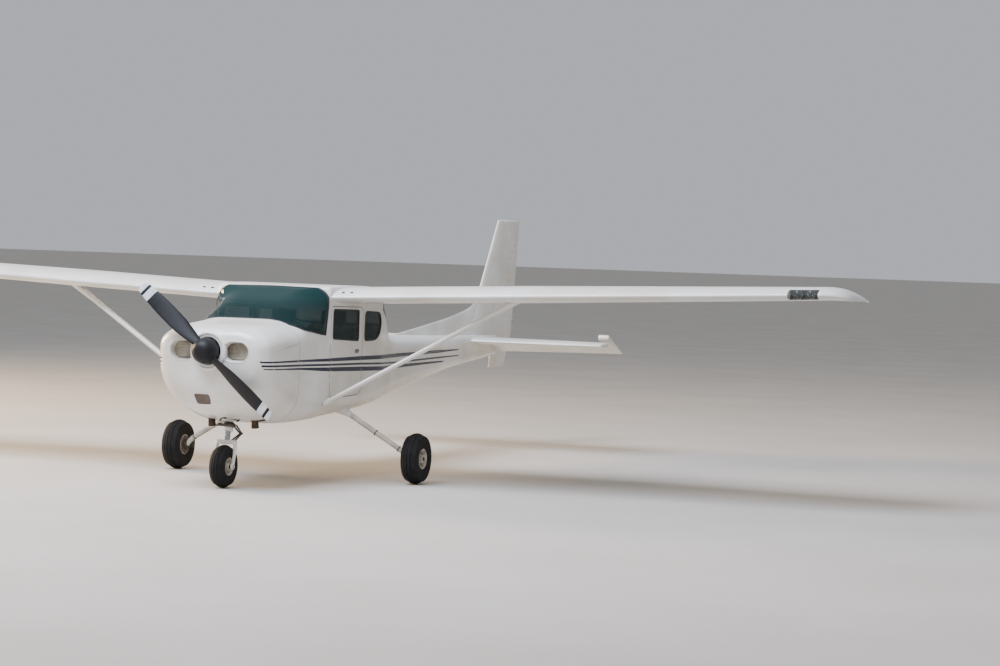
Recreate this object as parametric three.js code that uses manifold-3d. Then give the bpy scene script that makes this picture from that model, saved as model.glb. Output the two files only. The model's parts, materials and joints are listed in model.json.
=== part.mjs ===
// A two-seat, high-wing light aircraft with strut-braced wings, parked on its fixed tricycle gear.
// Units are millimetres. Z is up, the nose points along -Y and the left wing along +X.
// Every Y below is a station: the distance aft of the firewall. The last group moves the whole
// aircraft so that its bounding box is centred on the origin, with the wheels on Z = 0.

import * as THREE from 'three';
import { mergeVertices } from 'three/addons/utils/BufferGeometryUtils.js';
import Module from 'manifold-3d';

const wasm = await Module();
wasm.setup();

// Overall driving dimensions
const HALF_SPAN = 4975;
const HALF_TRACK = 1150;
const MAIN_AXLE_STATION = 1120;
const NOSE_AXLE_STATION = -320;
const MAIN_TYRE_RADIUS = 224;
const NOSE_TYRE_RADIUS = 182;
const PROP_STATION = -720;
const PROP_HEIGHT = 1150;
const PROP_RADIUS = 790;
const PROP_REST_ANGLE = 49.3;
const SPINNER_LENGTH = 120;
const RUDDER_TOP_REAR = 6830;
const SEAM = 0.3;
const MOVING_GAP = 6;

// Body outline, one row for each station. The section is a box with four elliptical corners.
const BODY_COLUMNS = ['station', 'half', 'bottom', 'top', 'lowX', 'lowZ', 'highX', 'highZ'];
const BODY_ROWS = [
  [-655, 340, 895, 1285, 240, 190, 220, 120],
  [-640, 405, 838, 1308, 290, 250, 250, 150],
  [-604, 465, 764, 1328, 330, 310, 260, 160],
  [-545, 500, 688, 1342, 350, 340, 260, 165],
  [-410, 518, 618, 1362, 350, 350, 265, 170],
  [-160, 520, 558, 1385, 330, 330, 275, 180],
  [0, 518, 534, 1408, 300, 290, 300, 200],
  [130, 518, 531, 1478, 260, 260, 330, 240],
  [280, 520, 536, 1562, 225, 225, 330, 320],
  [430, 525, 544, 1632, 200, 200, 300, 320],
  [560, 530, 553, 1686, 185, 185, 150, 150],
  [590, 530, 555, 1691, 185, 185, 40, 35],
  [620, 530, 557, 1695, 185, 185, 30, 25],
  [1000, 530, 576, 1703, 178, 178, 30, 25],
  [1400, 530, 598, 1698, 175, 175, 30, 25],
  [1700, 524, 618, 1672, 175, 175, 40, 35],
  [1800, 515, 624, 1622, 175, 175, 110, 90],
  [2000, 478, 636, 1430, 170, 170, 170, 120],
  [2200, 438, 650, 1275, 165, 165, 170, 120],
  [3300, 310, 755, 1215, 130, 130, 140, 110],
  [4500, 188, 866, 1190, 90, 80, 90, 90],
  [5600, 105, 932, 1178, 55, 50, 55, 60],
  [6066, 66, 962, 1170, 35, 40, 35, 40],
];
const CORNER_STEPS = 3;

// Lengths along the body where its pieces meet
const BOWL_REAR = -500;
const CABIN_FRONT = 0;
const CABIN_REAR = 2200;
const TAIL_END = 6066;
const COWL_SPLIT_HEIGHT = 1223;
const COWL_SPLIT_SLOPE = 0.137;
const WALL = 26;
const COWL_SKIN = 4;
const TAIL_SKIN = 0.8;

// Wing
const WING_ROOT = 530;
const WING_BREAK = 2100;
const WING_END = 4770;
const WING_SKIN = 1;
const ROOT_CHORD = 1630;
const TIP_CHORD = 1120;
const WING_FRONT = 585;
const WING_TIP_FRONT = 735;
const WING_HEIGHT = 1600;
const DIHEDRAL = 0.041;
const INCIDENCE = 0.025;
const ROOT_THICKNESS = 0.09;
const TIP_THICKNESS = 0.1;
const FLAP_INNER = 590;
const FLAP_OUTER = 2420;
const AILERON_INNER = 2460;
const AILERON_OUTER = 4620;
const FLAP_HINGE = 0.74;
const AILERON_HINGE = 0.76;

// Tail surfaces
const STAB_HALF_SPAN = 1484;
const STAB_HEIGHT = 1125;
const STAB_ROOT_FRONT = 5075;
const STAB_TIP_FRONT = 5235;
const STAB_ROOT_REAR = 6110;
const STAB_TIP_REAR = 6010;
const ELEVATOR_HINGE = 5740;
const ELEVATOR_DROOP = 20;
const HORN_INNER = 1372;
const HORN_FRONT = 5480;
const FIN_TOP = 2390;
const FIN_TOP_FRONT = 6170;
const FIN_ROOT_HEIGHT = 1300;
const FIN_ROOT_FRONT = 5420;
const FIN_THICKNESS = 0.075;
const RUDDER_BOTTOM = 825;
const RUDDER_KNEE = 1180;
const RUDDER_HINGE_STATION = 6116;
const RUDDER_HINGE_HEIGHT = 1000;
const RUDDER_HINGE_SLOPE = 0.28;
const RUDDER_HORN_HEIGHT = 2270;
const RUDDER_HORN_REACH = 130;
const NOSE_TRAIL = 50;

const materials = {
  white_paint: { color: 0xe9e8e4, roughness: 0.35, metalness: 0.1 },
  clear_glass: { color: 0x9fb5b0, roughness: 0.05, metalness: 0 },
  blade_black: { color: 0x232427, roughness: 0.5, metalness: 0.2 },
  tyre_rubber: { color: 0x17171a, roughness: 0.85, metalness: 0 },
  wheel_grey: { color: 0xa8a49c, roughness: 0.5, metalness: 0.4 },
  gear_steel: { color: 0xc9c4ba, roughness: 0.4, metalness: 0.5 },
  engine_metal: { color: 0x6a6a6c, roughness: 0.6, metalness: 0.7 },
  exhaust_steel: { color: 0x3a3430, roughness: 0.7, metalness: 0.7 },
  seat_cloth: { color: 0x3a3f45, roughness: 0.9, metalness: 0 },
  panel_black: { color: 0x1d1e20, roughness: 0.7, metalness: 0 },
  lamp_glass: { color: 0xd8dcd8, roughness: 0.1, metalness: 0 },
};
for (const [name, look] of Object.entries(materials)) {
  materials[name] = new THREE.MeshStandardMaterial({ name, ...look });
}

const sides = [['left', 1], ['right', -1]];
const aircraft = new THREE.Group();
const airframe = new THREE.Group();
aircraft.add(airframe);

// A closed three.js geometry becomes a solid that can be joined and cut.
function solid(geometry) {
  const bare = geometry.clone();
  for (const name of Object.keys(bare.attributes)) {
    if (name !== 'position') bare.deleteAttribute(name);
  }
  const merged = mergeVertices(bare, 1e-3);
  return new wasm.Manifold(new wasm.Mesh({
    numProp: 3,
    vertProperties: new Float32Array(merged.attributes.position.array),
    triVerts: new Uint32Array(merged.index.array),
  }));
}

// A solid goes back to a three.js geometry.
function geometryOf(body) {
  const mesh = body.getMesh();
  const geometry = new THREE.BufferGeometry();
  geometry.setAttribute('position', new THREE.BufferAttribute(mesh.vertProperties, 3));
  geometry.setIndex(new THREE.BufferAttribute(mesh.triVerts, 1));
  return geometry;
}

// The same solid on the other side of the plane X = 0
function mirrored(body) {
  const geometry = geometryOf(body);
  geometry.scale(-1, 1, 1);
  const index = geometry.index.array;
  for (let i = 0; i < index.length; i += 3) {
    [index[i], index[i + 1]] = [index[i + 1], index[i]];
  }
  return solid(geometry);
}

const onSide = (body, sign) => (sign > 0 ? body : mirrored(body));

function place(name, material, body, parent = airframe) {
  const geometry = geometryOf(body);
  geometry.computeVertexNormals();
  const mesh = new THREE.Mesh(geometry, materials[material]);
  mesh.name = name;
  parent.add(mesh);
  return mesh;
}

// A smooth or straight-edged body through rings with the same number of points, closed at both ends
function loft(rings) {
  const count = rings[0].length;
  const points = rings.flat();
  const faces = [];
  for (let r = 0; r + 1 < rings.length; r += 1) {
    for (let i = 0; i < count; i += 1) {
      const a = r * count + i;
      const b = r * count + ((i + 1) % count);
      faces.push(a, b, b + count, a, b + count, a + count);
    }
  }
  for (const [r, flip] of [[0, true], [rings.length - 1, false]]) {
    const middle = [0, 1, 2].map((k) => rings[r].reduce((sum, p) => sum + p[k], 0) / count);
    const centre = points.push(middle) - 1;
    for (let i = 0; i < count; i += 1) {
      const a = r * count + i;
      const b = r * count + ((i + 1) % count);
      faces.push(centre, ...(flip ? [b, a] : [a, b]));
    }
  }
  const geometry = new THREE.BufferGeometry();
  geometry.setAttribute('position', new THREE.Float32BufferAttribute(points.flat(), 3));
  geometry.setIndex(faces);
  const body = solid(geometry);
  if (body.volume() > 0) return body;
  for (let i = 0; i < faces.length; i += 3) {
    [faces[i], faces[i + 1]] = [faces[i + 1], faces[i]];
  }
  geometry.setIndex(faces);
  return solid(geometry);
}

// An outline pushed along an axis: [y, z] along x, [x, z] along y, or [x, y] along z
function prism(axis, outline, from, to) {
  const swap = axis === 'y';
  const pairs = outline.map(([a, b]) => (swap ? new THREE.Vector2(b, a) : new THREE.Vector2(a, b)));
  const shape = new THREE.Shape(pairs);
  const geometry = new THREE.ExtrudeGeometry(shape, { depth: to - from, bevelEnabled: false });
  geometry.translate(0, 0, from);
  const [X, Y, Z] = [[1, 0, 0], [0, 1, 0], [0, 0, 1]].map((v) => new THREE.Vector3(...v));
  const frames = { x: [Y, Z, X], y: [Z, X, Y], z: [X, Y, Z] };
  return solid(geometry.applyMatrix4(new THREE.Matrix4().makeBasis(...frames[axis])));
}

function box(x0, x1, y0, y1, z0, z1) {
  const geometry = new THREE.BoxGeometry(x1 - x0, y1 - y0, z1 - z0);
  geometry.translate((x0 + x1) / 2, (y0 + y1) / 2, (z0 + z1) / 2);
  return solid(geometry);
}

// A round bar between two points
function rod(from, to, radiusFrom, radiusTo = radiusFrom, segments = 16) {
  const a = new THREE.Vector3(...from);
  const b = new THREE.Vector3(...to);
  const along = b.clone().sub(a);
  const geometry = new THREE.CylinderGeometry(radiusTo, radiusFrom, along.length(), segments);
  geometry.rotateY(Math.PI / segments);
  const turn = new THREE.Quaternion().setFromUnitVectors(new THREE.Vector3(0, 1, 0), along.normalize());
  geometry.applyQuaternion(turn);
  geometry.translate((a.x + b.x) / 2, (a.y + b.y) / 2, (a.z + b.z) / 2);
  return solid(geometry);
}

// A turned piece: [radius, distance along the axis] pairs, with the axis along X or Y
function turned(profile, axis, segments) {
  const points = profile.map(([r, h]) => new THREE.Vector2(r, h));
  const geometry = new THREE.LatheGeometry(points, segments, Math.PI / segments);
  if (axis === 'x') geometry.rotateZ(-Math.PI / 2);
  let body = solid(geometry);
  if (body.volume() < 0) {
    const flat = geometry.index.array;
    for (let i = 0; i < flat.length; i += 3) [flat[i], flat[i + 1]] = [flat[i + 1], flat[i]];
    body = solid(geometry);
  }
  return body;
}

const rotated = (body, matrix) => solid(geometryOf(body).applyMatrix4(matrix));
const moved = (body, x, y, z) => rotated(body, new THREE.Matrix4().makeTranslation(x, y, z));
const mix = (a, b, t) => a + (b - a) * t;
const inset = (outline, gap) => {
  const middle = [0, 1].map((k) => outline.reduce((sum, p) => sum + p[k], 0) / outline.length);
  return outline.map((p) => {
    const reach = Math.hypot(p[0] - middle[0], p[1] - middle[1]);
    return p.map((v, k) => v - ((v - middle[k]) / reach) * gap);
  });
};

const bodyRows = BODY_ROWS.map((row) => Object.fromEntries(BODY_COLUMNS.map((name, i) => [name, row[i]])));

function bodyAt(station) {
  const last = bodyRows.length - 1;
  let i = bodyRows.findIndex((row) => row.station > station) - 1;
  if (i < 0) i = station <= bodyRows[0].station ? 0 : last - 1;
  const [a, b] = [bodyRows[i], bodyRows[i + 1]];
  const t = (station - a.station) / (b.station - a.station);
  return Object.fromEntries(BODY_COLUMNS.map((name) => [name, mix(a[name], b[name], t)]));
}

// One body section, grown outwards by an offset (inwards when it is negative)
function bodyRing(station, offset) {
  const s = bodyAt(station);
  const half = s.half + offset;
  const top = s.top + offset;
  const bottom = s.bottom - offset;
  const corner = (value) => Math.max(value + offset, 4);
  const corners = [
    [1, -1, corner(s.lowX), corner(s.lowZ), bottom, -90],
    [1, 1, corner(s.highX), corner(s.highZ), top, 0],
    [-1, 1, corner(s.highX), corner(s.highZ), top, 90],
    [-1, -1, corner(s.lowX), corner(s.lowZ), bottom, 180],
  ];
  const ring = [];
  for (const [sx, sz, rx, rz, edge, start] of corners) {
    for (let i = 0; i <= CORNER_STEPS; i += 1) {
      const angle = THREE.MathUtils.degToRad(start + (90 * i) / CORNER_STEPS);
      ring.push([sx * (half - rx) + rx * Math.cos(angle), station, edge - sz * rz + rz * Math.sin(angle)]);
    }
  }
  return ring;
}

// The body's outer shape between two stations, grown by an offset
function bodyLoft(from, to, offset = 0) {
  const inside = bodyRows.map((row) => row.station).filter((y) => y > from + 1 && y < to - 1);
  return loft([from, ...inside, to].map((y) => bodyRing(y, offset)));
}

// Aerofoil: [fraction of chord, upper height, lower height], for a section 1 long and 1 thick at most
const SECTION_STEPS = [0, 0.02, 0.08, 0.2, 0.4, 0.65, 1];
function halfThickness(c) {
  const terms = 0.2969 * Math.sqrt(c) - 0.126 * c - 0.3516 * c ** 2 + 0.2843 * c ** 3 - 0.1015 * c ** 4;
  return 5 * terms;
}
function meanLine(c, camber) {
  const peak = 0.4;
  if (c < peak) return (camber * (2 * peak * c - c * c)) / peak ** 2;
  return (camber * (1 - 2 * peak + 2 * peak * c - c * c)) / (1 - peak) ** 2;
}

// A ring of an aerofoil: upper side from the front to the rear, then the lower side back
const LEAST_HALF_EDGE = 2;
function foilRing(chord, thickness, camber, put, grow = 0) {
  const height = (c) => Math.max(halfThickness(c) * thickness * chord, LEAST_HALF_EDGE) + grow;
  const line = (c) => meanLine(c, camber) * chord;
  const steps = SECTION_STEPS.slice(1);
  const upper = steps.map((c) => put(c * chord, line(c) + height(c)));
  const lower = steps.reverse().map((c) => put(c * chord, line(c) - height(c)));
  return [put(-grow, 0), ...upper, ...lower];
}

// The straight stretches between the section's steps, so that a hollow follows the outer faces
function onStretches(curve, c) {
  const i = Math.max(1, SECTION_STEPS.findIndex((step) => step >= c));
  const [from, to] = [SECTION_STEPS[i - 1], SECTION_STEPS[i]];
  return mix(curve(from), curve(to), (c - from) / (to - from));
}

// The room inside a skin, from one fraction of the chord to another through the steps between them
const LEAST_ROOM = 0.4;
function hollowRing(chord, thickness, camber, put, skin, first, between, last) {
  const steps = [first, ...between, last];
  const height = (c) => Math.max(onStretches(halfThickness, c) * thickness * chord - skin, LEAST_ROOM);
  const line = (c) => onStretches((v) => meanLine(v, camber), c) * chord;
  const upper = steps.map((c) => put(c * chord, line(c) + height(c)));
  return [...upper, ...steps.reverse().map((c) => put(c * chord, line(c) - height(c)))];
}

// Wing geometry at a distance X from the middle of the aircraft
const WING_CAMBER = 0.02;
function wingAt(x) {
  const t = THREE.MathUtils.clamp((x - WING_BREAK) / (WING_END - WING_BREAK), 0, 1);
  return {
    chord: mix(ROOT_CHORD, TIP_CHORD, t),
    front: mix(WING_FRONT, WING_TIP_FRONT, t),
    thickness: mix(ROOT_THICKNESS, TIP_THICKNESS, t),
    height: WING_HEIGHT + DIHEDRAL * (x - WING_ROOT),
  };
}
const wingPut = (x, w) => (y, z) => [x, w.front + y, w.height + z - INCIDENCE * y];
function wingRing(x, grow = 0) {
  const w = wingAt(x);
  return foilRing(w.chord, w.thickness, WING_CAMBER, wingPut(x, w), grow);
}
function wingHollow(x, first, between, last) {
  const w = wingAt(x);
  return hollowRing(w.chord, w.thickness, WING_CAMBER, wingPut(x, w), WING_SKIN, first, between, last);
}
function wingHinge(x, fraction) {
  const w = wingAt(x);
  const y = fraction * w.chord;
  const z = meanLine(fraction, WING_CAMBER) * w.chord - INCIDENCE * y;
  const radius = halfThickness(fraction) * w.thickness * w.chord;
  return { radius, put: (back, side) => [x, w.front + y + back, w.height + z + side] };
}

// The room that a hinged surface takes: a round nose about its hinge line and a box behind it
const NOSE_STEPS = 6;
function noseRing(hinge, extra, reach, tall) {
  const radius = hinge.radius + extra;
  const ring = [];
  for (let i = 0; i <= NOSE_STEPS; i += 1) {
    const angle = Math.PI / 2 + (Math.PI * i) / NOSE_STEPS;
    ring.push([radius * Math.cos(angle), radius * Math.sin(angle)]);
  }
  ring.push([reach, -tall], [reach, tall]);
  return ring.map(([back, side]) => hinge.put(back, side));
}
const ROOM_REACH = 900;
const ROOM_HEIGHT = 160;
const roomRing = (hinge, extra) => noseRing(hinge, extra, ROOM_REACH, ROOM_HEIGHT);
const hingeRoom = (a, b, extra) => loft([roomRing(a, extra), roomRing(b, extra)]);
const surfaceRoom = (a, b) => loft([a, b].map((hinge) => noseRing(hinge, 0, ROOM_REACH, hinge.radius)));

// Hinge tabs: a lug on the fixed side fills a slot in the nose of the moving surface.
// Both are squared to the hinge line, so that their side faces slide on each other.
const TAB_HALF_WIDTH = 7;
const TAB_HALF_HEIGHT = 6;
const TAB_REACH = 10;
const TAB_ROOT = 16;
const SLOT_FRONT = 200;
const SLOT_REACH = 24;
const SLOT_HALF_HEIGHT = 120;
function squaredToHinge(a, b, fraction, body) {
  const from = new THREE.Vector3(...a.put(0, 0));
  const to = new THREE.Vector3(...b.put(0, 0));
  const along = to.clone().sub(from).normalize();
  const side = new THREE.Vector3(...a.put(0, 1)).sub(from);
  const back = new THREE.Vector3().crossVectors(side, along).normalize();
  if (back.y < 0) back.negate();
  const up = new THREE.Vector3().crossVectors(along, back);
  const frame = new THREE.Matrix4().makeBasis(along, back, up);
  return rotated(body, frame.setPosition(from.lerp(to, fraction)));
}
function hingeTabs(a, b, fractions) {
  const half = TAB_HALF_WIDTH - SEAM;
  const length = Math.max(a.radius, b.radius) + MOVING_GAP + TAB_ROOT;
  const tab = box(-half, half, -length, TAB_REACH, -TAB_HALF_HEIGHT, TAB_HALF_HEIGHT);
  return fractions.map((fraction) => squaredToHinge(a, b, fraction, tab));
}
function hingeSlots(a, b, fractions) {
  const [width, height] = [TAB_HALF_WIDTH, SLOT_HALF_HEIGHT];
  const slot = box(-width, width, -SLOT_FRONT, SLOT_REACH, -height, height);
  return fractions.map((fraction) => squaredToHinge(a, b, fraction, slot));
}
const joined = (body, others) => others.reduce((sum, other) => sum.add(other), body);
const without = (body, others) => others.reduce((rest, other) => rest.subtract(other), body);

// Cabin, doors and glass: side-view outlines as [station, height]
const WINDSHIELD_OUTLINE = [
  [8, 1398], [14, 1366], [116, 1326], [415, 1284], [508, 1276], [566, 1600], [548, 1900], [8, 1900],
];
const REAR_WINDOW_OUTLINE = [
  [1806, 1900], [1806, 1480], [2040, 1352], [2128, 1330], [2160, 1330], [2300, 1900],
];
const DOOR_OUTLINE = [
  [610, 770], [650, 735], [1240, 745], [1300, 790], [1310, 1240], [1310, 1490], [1270, 1515], [610, 1525],
];
const DOOR_WINDOW_OUTLINE = [
  [650, 1242], [1206, 1216], [1222, 1236], [1222, 1478], [1208, 1490], [674, 1502], [656, 1490],
];
const REAR_SIDE_OUTLINE = [
  [1345, 1212], [1600, 1216], [1700, 1252], [1756, 1335], [1752, 1410], [1700, 1468], [1355, 1480],
];
const GLASS = 6;
const GLASS_SEAM = 0.5;
const DOOR_HINGE_STATION = 610;
const HINGE_PIN_HEIGHTS = [850, 1180];
const HINGE_PIN_X = WING_ROOT + 6;
const HINGE_LEAF = { inner: WING_ROOT - 10, length: 20 };
const KNUCKLE_RADIUS = 5.5;
const KNUCKLE_LENGTH = 30;
const FAR = 1000;

const outerCabin = bodyLoft(CABIN_FRONT, CABIN_REAR);
const cabinRoom = bodyLoft(CABIN_FRONT + WALL, CABIN_REAR - WALL, -WALL);
const cabinWalls = outerCabin.subtract(cabinRoom);
const glassLayer = outerCabin.subtract(bodyLoft(CABIN_FRONT - 50, CABIN_REAR + 50, -GLASS));
const across = (outline) => prism('x', outline, -FAR, FAR);
const leftOnly = (outline) => prism('x', outline, WING_ROOT - 120, FAR);
const pane = (outline, cut) => glassLayer.intersect(cut(inset(outline, GLASS_SEAM)));

let cabin = without(cabinWalls, [
  across(WINDSHIELD_OUTLINE), across(REAR_WINDOW_OUTLINE), across(REAR_SIDE_OUTLINE),
  across(inset(DOOR_OUTLINE, -MOVING_GAP / 2)),
]);
const doorPanel = cabinWalls.intersect(leftOnly(inset(DOOR_OUTLINE, MOVING_GAP / 2)));
let door = doorPanel.subtract(leftOnly(DOOR_WINDOW_OUTLINE));
for (const height of HINGE_PIN_HEIGHTS) {
  const knuckle = (low, high, reach) => {
    const [x, y] = [HINGE_PIN_X, DOOR_HINGE_STATION];
    const pin = rod([x, y, low], [x, y, high], KNUCKLE_RADIUS, KNUCKLE_RADIUS, 12);
    return pin.add(box(HINGE_LEAF.inner, x, Math.min(y, y + reach), Math.max(y, y + reach), low, high));
  };
  const middle = height + KNUCKLE_LENGTH;
  door = door.add(knuckle(height, middle, HINGE_LEAF.length));
  const fixed = knuckle(middle + SEAM, middle + KNUCKLE_LENGTH, -HINGE_LEAF.length);
  cabin = cabin.add(fixed).add(mirrored(fixed));
}
place('cabin_shell', 'white_paint', cabin);
place('windshield', 'clear_glass', pane(WINDSHIELD_OUTLINE, across));
place('rear_window', 'clear_glass', pane(REAR_WINDOW_OUTLINE, across));
for (const [side, sign] of sides) {
  place(`${side}_door`, 'white_paint', onSide(door, sign));
  place(`${side}_door_window`, 'clear_glass', onSide(pane(DOOR_WINDOW_OUTLINE, leftOnly), sign));
  place(`${side}_rear_side_window`, 'clear_glass', onSide(pane(REAR_SIDE_OUTLINE, leftOnly), sign));
}

// Nose bowl with two air intakes, a round boss for the shaft and a small lower inlet
const INTAKE = { inner: 150, outer: 355, height: 1150, halfHeight: 72, steps: 12 };
const BOSS_RADIUS = 160;
const BOSS_FRONT = -668;
const BOSS_REAR = -608;
const BOWL_SKIN = 8;
const BOWL_FACE = 14;
const SHAFT_RADIUS = 60;
const SHAFT_CLEARANCE = 10;
const LOWER_INLET = { right: -170, left: -35, bottom: 735, top: 812 };
const intake = (sign) => {
  const outline = [];
  for (let i = 0; i <= INTAKE.steps; i += 1) {
    const angle = -Math.PI / 2 + (2 * Math.PI * i) / INTAKE.steps;
    const onOuter = i <= INTAKE.steps / 2;
    const centre = onOuter ? INTAKE.outer - INTAKE.halfHeight : INTAKE.inner + INTAKE.halfHeight;
    const reach = centre + INTAKE.halfHeight * Math.cos(angle);
    outline.push([sign * reach, INTAKE.height + INTAKE.halfHeight * Math.sin(angle)]);
  }
  return prism('y', sign > 0 ? outline : outline.reverse(), -800, -570);
};
const bowlFront = bodyRows[0].station;
const alongShaft = (from, to, radius) => rod([0, from, PROP_HEIGHT], [0, to, PROP_HEIGHT], radius, radius, 24);
const bowlRoom = bodyLoft(bowlFront + BOWL_FACE, BOWL_REAR + 50, -BOWL_SKIN);
const inletCut = LOWER_INLET;
const lowerInlet = box(inletCut.right, inletCut.left, -800, -550, inletCut.bottom, inletCut.top);
const shaftHole = alongShaft(-800, -570, SHAFT_RADIUS + SHAFT_CLEARANCE);
const openBowl = without(bodyLoft(bowlFront, BOWL_REAR), [bowlRoom, intake(1), intake(-1), lowerInlet]);
const bowl = openBowl.add(alongShaft(BOSS_FRONT, BOSS_REAR, BOSS_RADIUS)).subtract(shaftHole);
place('nose_bowl', 'white_paint', bowl);

// Cowls: two thin halves that meet on a sloping line
const COOLING_EXIT = { half: 200, front: -70, top: 640 };
const STRUT_HOLE = { half: 60, front: -300, rear: -100 };
const EXHAUST = { x: 200, topY: -190, bottomY: -150, bottom: 500, radius: 24, bore: 21, hole: 40 };
const cowlShell = bodyLoft(BOWL_REAR + SEAM, CABIN_FRONT - SEAM).subtract(bodyLoft(-700, 100, -COWL_SKIN));
const splitAt = (y) => [y, COWL_SPLIT_HEIGHT + COWL_SPLIT_SLOPE * y];
const upperRoom = prism('x', [splitAt(-FAR), splitAt(FAR), [FAR, 3000], [-FAR, 3000]], -FAR, FAR);
const belowSplit = ([y, z]) => [y, z - SEAM];
const lowerOutline = [[-FAR, 0], [FAR, 0], belowSplit(splitAt(FAR)), belowSplit(splitAt(-FAR))];
const lowerRoom = prism('x', lowerOutline, -FAR, FAR);
place('upper_cowl', 'white_paint', cowlShell.intersect(upperRoom));
const coolingExit = box(-COOLING_EXIT.half, COOLING_EXIT.half, COOLING_EXIT.front, FAR, 0, COOLING_EXIT.top);
const strutHole = box(-STRUT_HOLE.half, STRUT_HOLE.half, STRUT_HOLE.front, STRUT_HOLE.rear, 0, 800);
const stubHole = rod([EXHAUST.x, EXHAUST.bottomY, 460], [EXHAUST.x, EXHAUST.topY, 800], EXHAUST.hole);
const cowlHoles = [coolingExit, strutHole, stubHole, mirrored(stubHole)];
place('lower_cowl', 'white_paint', without(cowlShell.intersect(lowerRoom), cowlHoles));

// Engine as one block: cylinders, sump, rear case and crankshaft, with two exhaust stubs under it
const ENGINE = { half: 380, sumpHalf: 250, front: -560, rear: -32, bottom: 785, middle: 910, top: 1225 };
const REAR_CASE = { half: 150, front: -52, bottom: 900, top: 1180 };
const PROP_FLANGE = PROP_STATION + 45;
const cylinders = box(-ENGINE.half, ENGINE.half, ENGINE.front, ENGINE.rear, ENGINE.middle, ENGINE.top);
const sumpTop = ENGINE.middle + 1;
const sump = box(-ENGINE.sumpHalf, ENGINE.sumpHalf, ENGINE.front, ENGINE.rear, ENGINE.bottom, sumpTop);
const rearCase = box(
  -REAR_CASE.half, REAR_CASE.half, REAR_CASE.front, CABIN_FRONT - SEAM, REAR_CASE.bottom, REAR_CASE.top,
);
const crankshaft = alongShaft(PROP_FLANGE + SEAM, ENGINE.front + 20, SHAFT_RADIUS);
place('engine_block', 'engine_metal', joined(cylinders, [sump, rearCase, crankshaft]));

const stubTop = [EXHAUST.x, EXHAUST.topY, ENGINE.bottom + 10];
const stubBottom = [EXHAUST.x, EXHAUST.bottomY, EXHAUST.bottom];
const boreTop = [EXHAUST.x, EXHAUST.bottomY, EXHAUST.bottom + 20];
const boreEnd = [EXHAUST.x, EXHAUST.bottomY, EXHAUST.bottom - 40];
const stubBore = rod(boreTop, boreEnd, EXHAUST.bore);
const aboveStub = box(-FAR, FAR, -FAR, FAR, ENGINE.bottom - SEAM, 3000);
const stub = without(rod(stubTop, stubBottom, EXHAUST.radius), [stubBore, aboveStub]);
for (const [side, sign] of sides) place(`${side}_exhaust_pipe`, 'exhaust_steel', onSide(stub, sign));

// Instrument panel with its shelf and two control yokes
const PANEL = { front: 330, rear: 372, bottom: 1010, top: 1352, shelfFront: 120, shelfThickness: 22 };
const YOKE = { x: 240, z: 1130, rear: 560, radius: 12, half: 130, gripTop: 1220, gripBottom: 1110 };
const insideTrim = bodyLoft(CABIN_FRONT + WALL + SEAM, CABIN_REAR - WALL - SEAM, -WALL - SEAM);
const panelBoard = box(-600, 600, PANEL.front, PANEL.rear, PANEL.bottom, PANEL.top);
const shelf = box(-600, 600, PANEL.shelfFront, PANEL.front + 1, PANEL.top - PANEL.shelfThickness, PANEL.top);
const yokeBar = box(
  YOKE.x - YOKE.half, YOKE.x + YOKE.half, YOKE.rear - 15, YOKE.rear + 10, YOKE.z - 12, YOKE.z + 12,
);
const yokeTube = rod([YOKE.x, PANEL.rear - 12, YOKE.z], [YOKE.x, YOKE.rear, YOKE.z], YOKE.radius);
const grips = [-YOKE.half, YOKE.half].map((reach) => {
  const x = YOKE.x + reach;
  return box(x - 11, x + 11, YOKE.rear - 15, YOKE.rear + 10, YOKE.gripBottom, YOKE.gripTop);
});
const yoke = joined(yokeTube, [yokeBar, ...grips]);
const panel = joined(insideTrim.intersect(panelBoard.add(shelf)), [yoke, mirrored(yoke)]);
place('instrument_panel', 'panel_black', panel);

// Seats: a base on the cabin floor, a cushion and a back
const SEAT_INNER = 30;
const SEAT_OUTER = 450;
const SEAT_BASE_OUTLINE = [[820, 500], [1180, 500], [1150, 800], [850, 800]];
const CUSHION_OUTLINE = [[760, 800], [1210, 780], [1210, 870], [760, 900]];
const BACK_OUTLINE = [[1140, 820], [1220, 780], [1330, 1310], [1260, 1330]];
const seatPart = (outline) => prism('x', outline, SEAT_INNER, SEAT_OUTER);
const seatParts = [CUSHION_OUTLINE, BACK_OUTLINE].map(seatPart);
const seatBase = prism('x', SEAT_BASE_OUTLINE, SEAT_INNER + 60, SEAT_OUTER - 105);
const seat = joined(seatBase, seatParts).intersect(insideTrim);
for (const [side, sign] of sides) place(`${side}_seat`, 'seat_cloth', onSide(seat, sign));

// Horizontal tail, as it lies with the elevator level
const ELEVATOR_INNER = 100;
const ELEVATOR_TUBE = { half: 160, radius: 14, hole: 22 };
const TAIL_THICKNESS = 0.075;
const STAB_VENT = { half: 60, front: 5250, rear: 5450 };
const HOLLOW_STEPS = [0.02, 0.08, 0.2, 0.4];
const CLOSED_EDGE = 10;
const TRAILING_HOLLOW = 0.96;
const tailRow = (x) => {
  const t = Math.abs(x) / STAB_HALF_SPAN;
  const front = mix(STAB_ROOT_FRONT, STAB_TIP_FRONT, t);
  return { front, chord: mix(STAB_ROOT_REAR, STAB_TIP_REAR, t) - front };
};
const tailPut = (x, front) => (y, z) => [x, front + y, STAB_HEIGHT + z];
const tailRing = (x, grow = 0) => {
  const { front, chord } = tailRow(x);
  return foilRing(chord, TAIL_THICKNESS, 0, tailPut(x, front), grow);
};
const tailHollow = (x, first, between, last) => {
  const { front, chord } = tailRow(x);
  const start = first < 1 ? first : (first - front) / chord;
  return hollowRing(chord, TAIL_THICKNESS, 0, tailPut(x, front), TAIL_SKIN, start, between, last);
};
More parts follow.
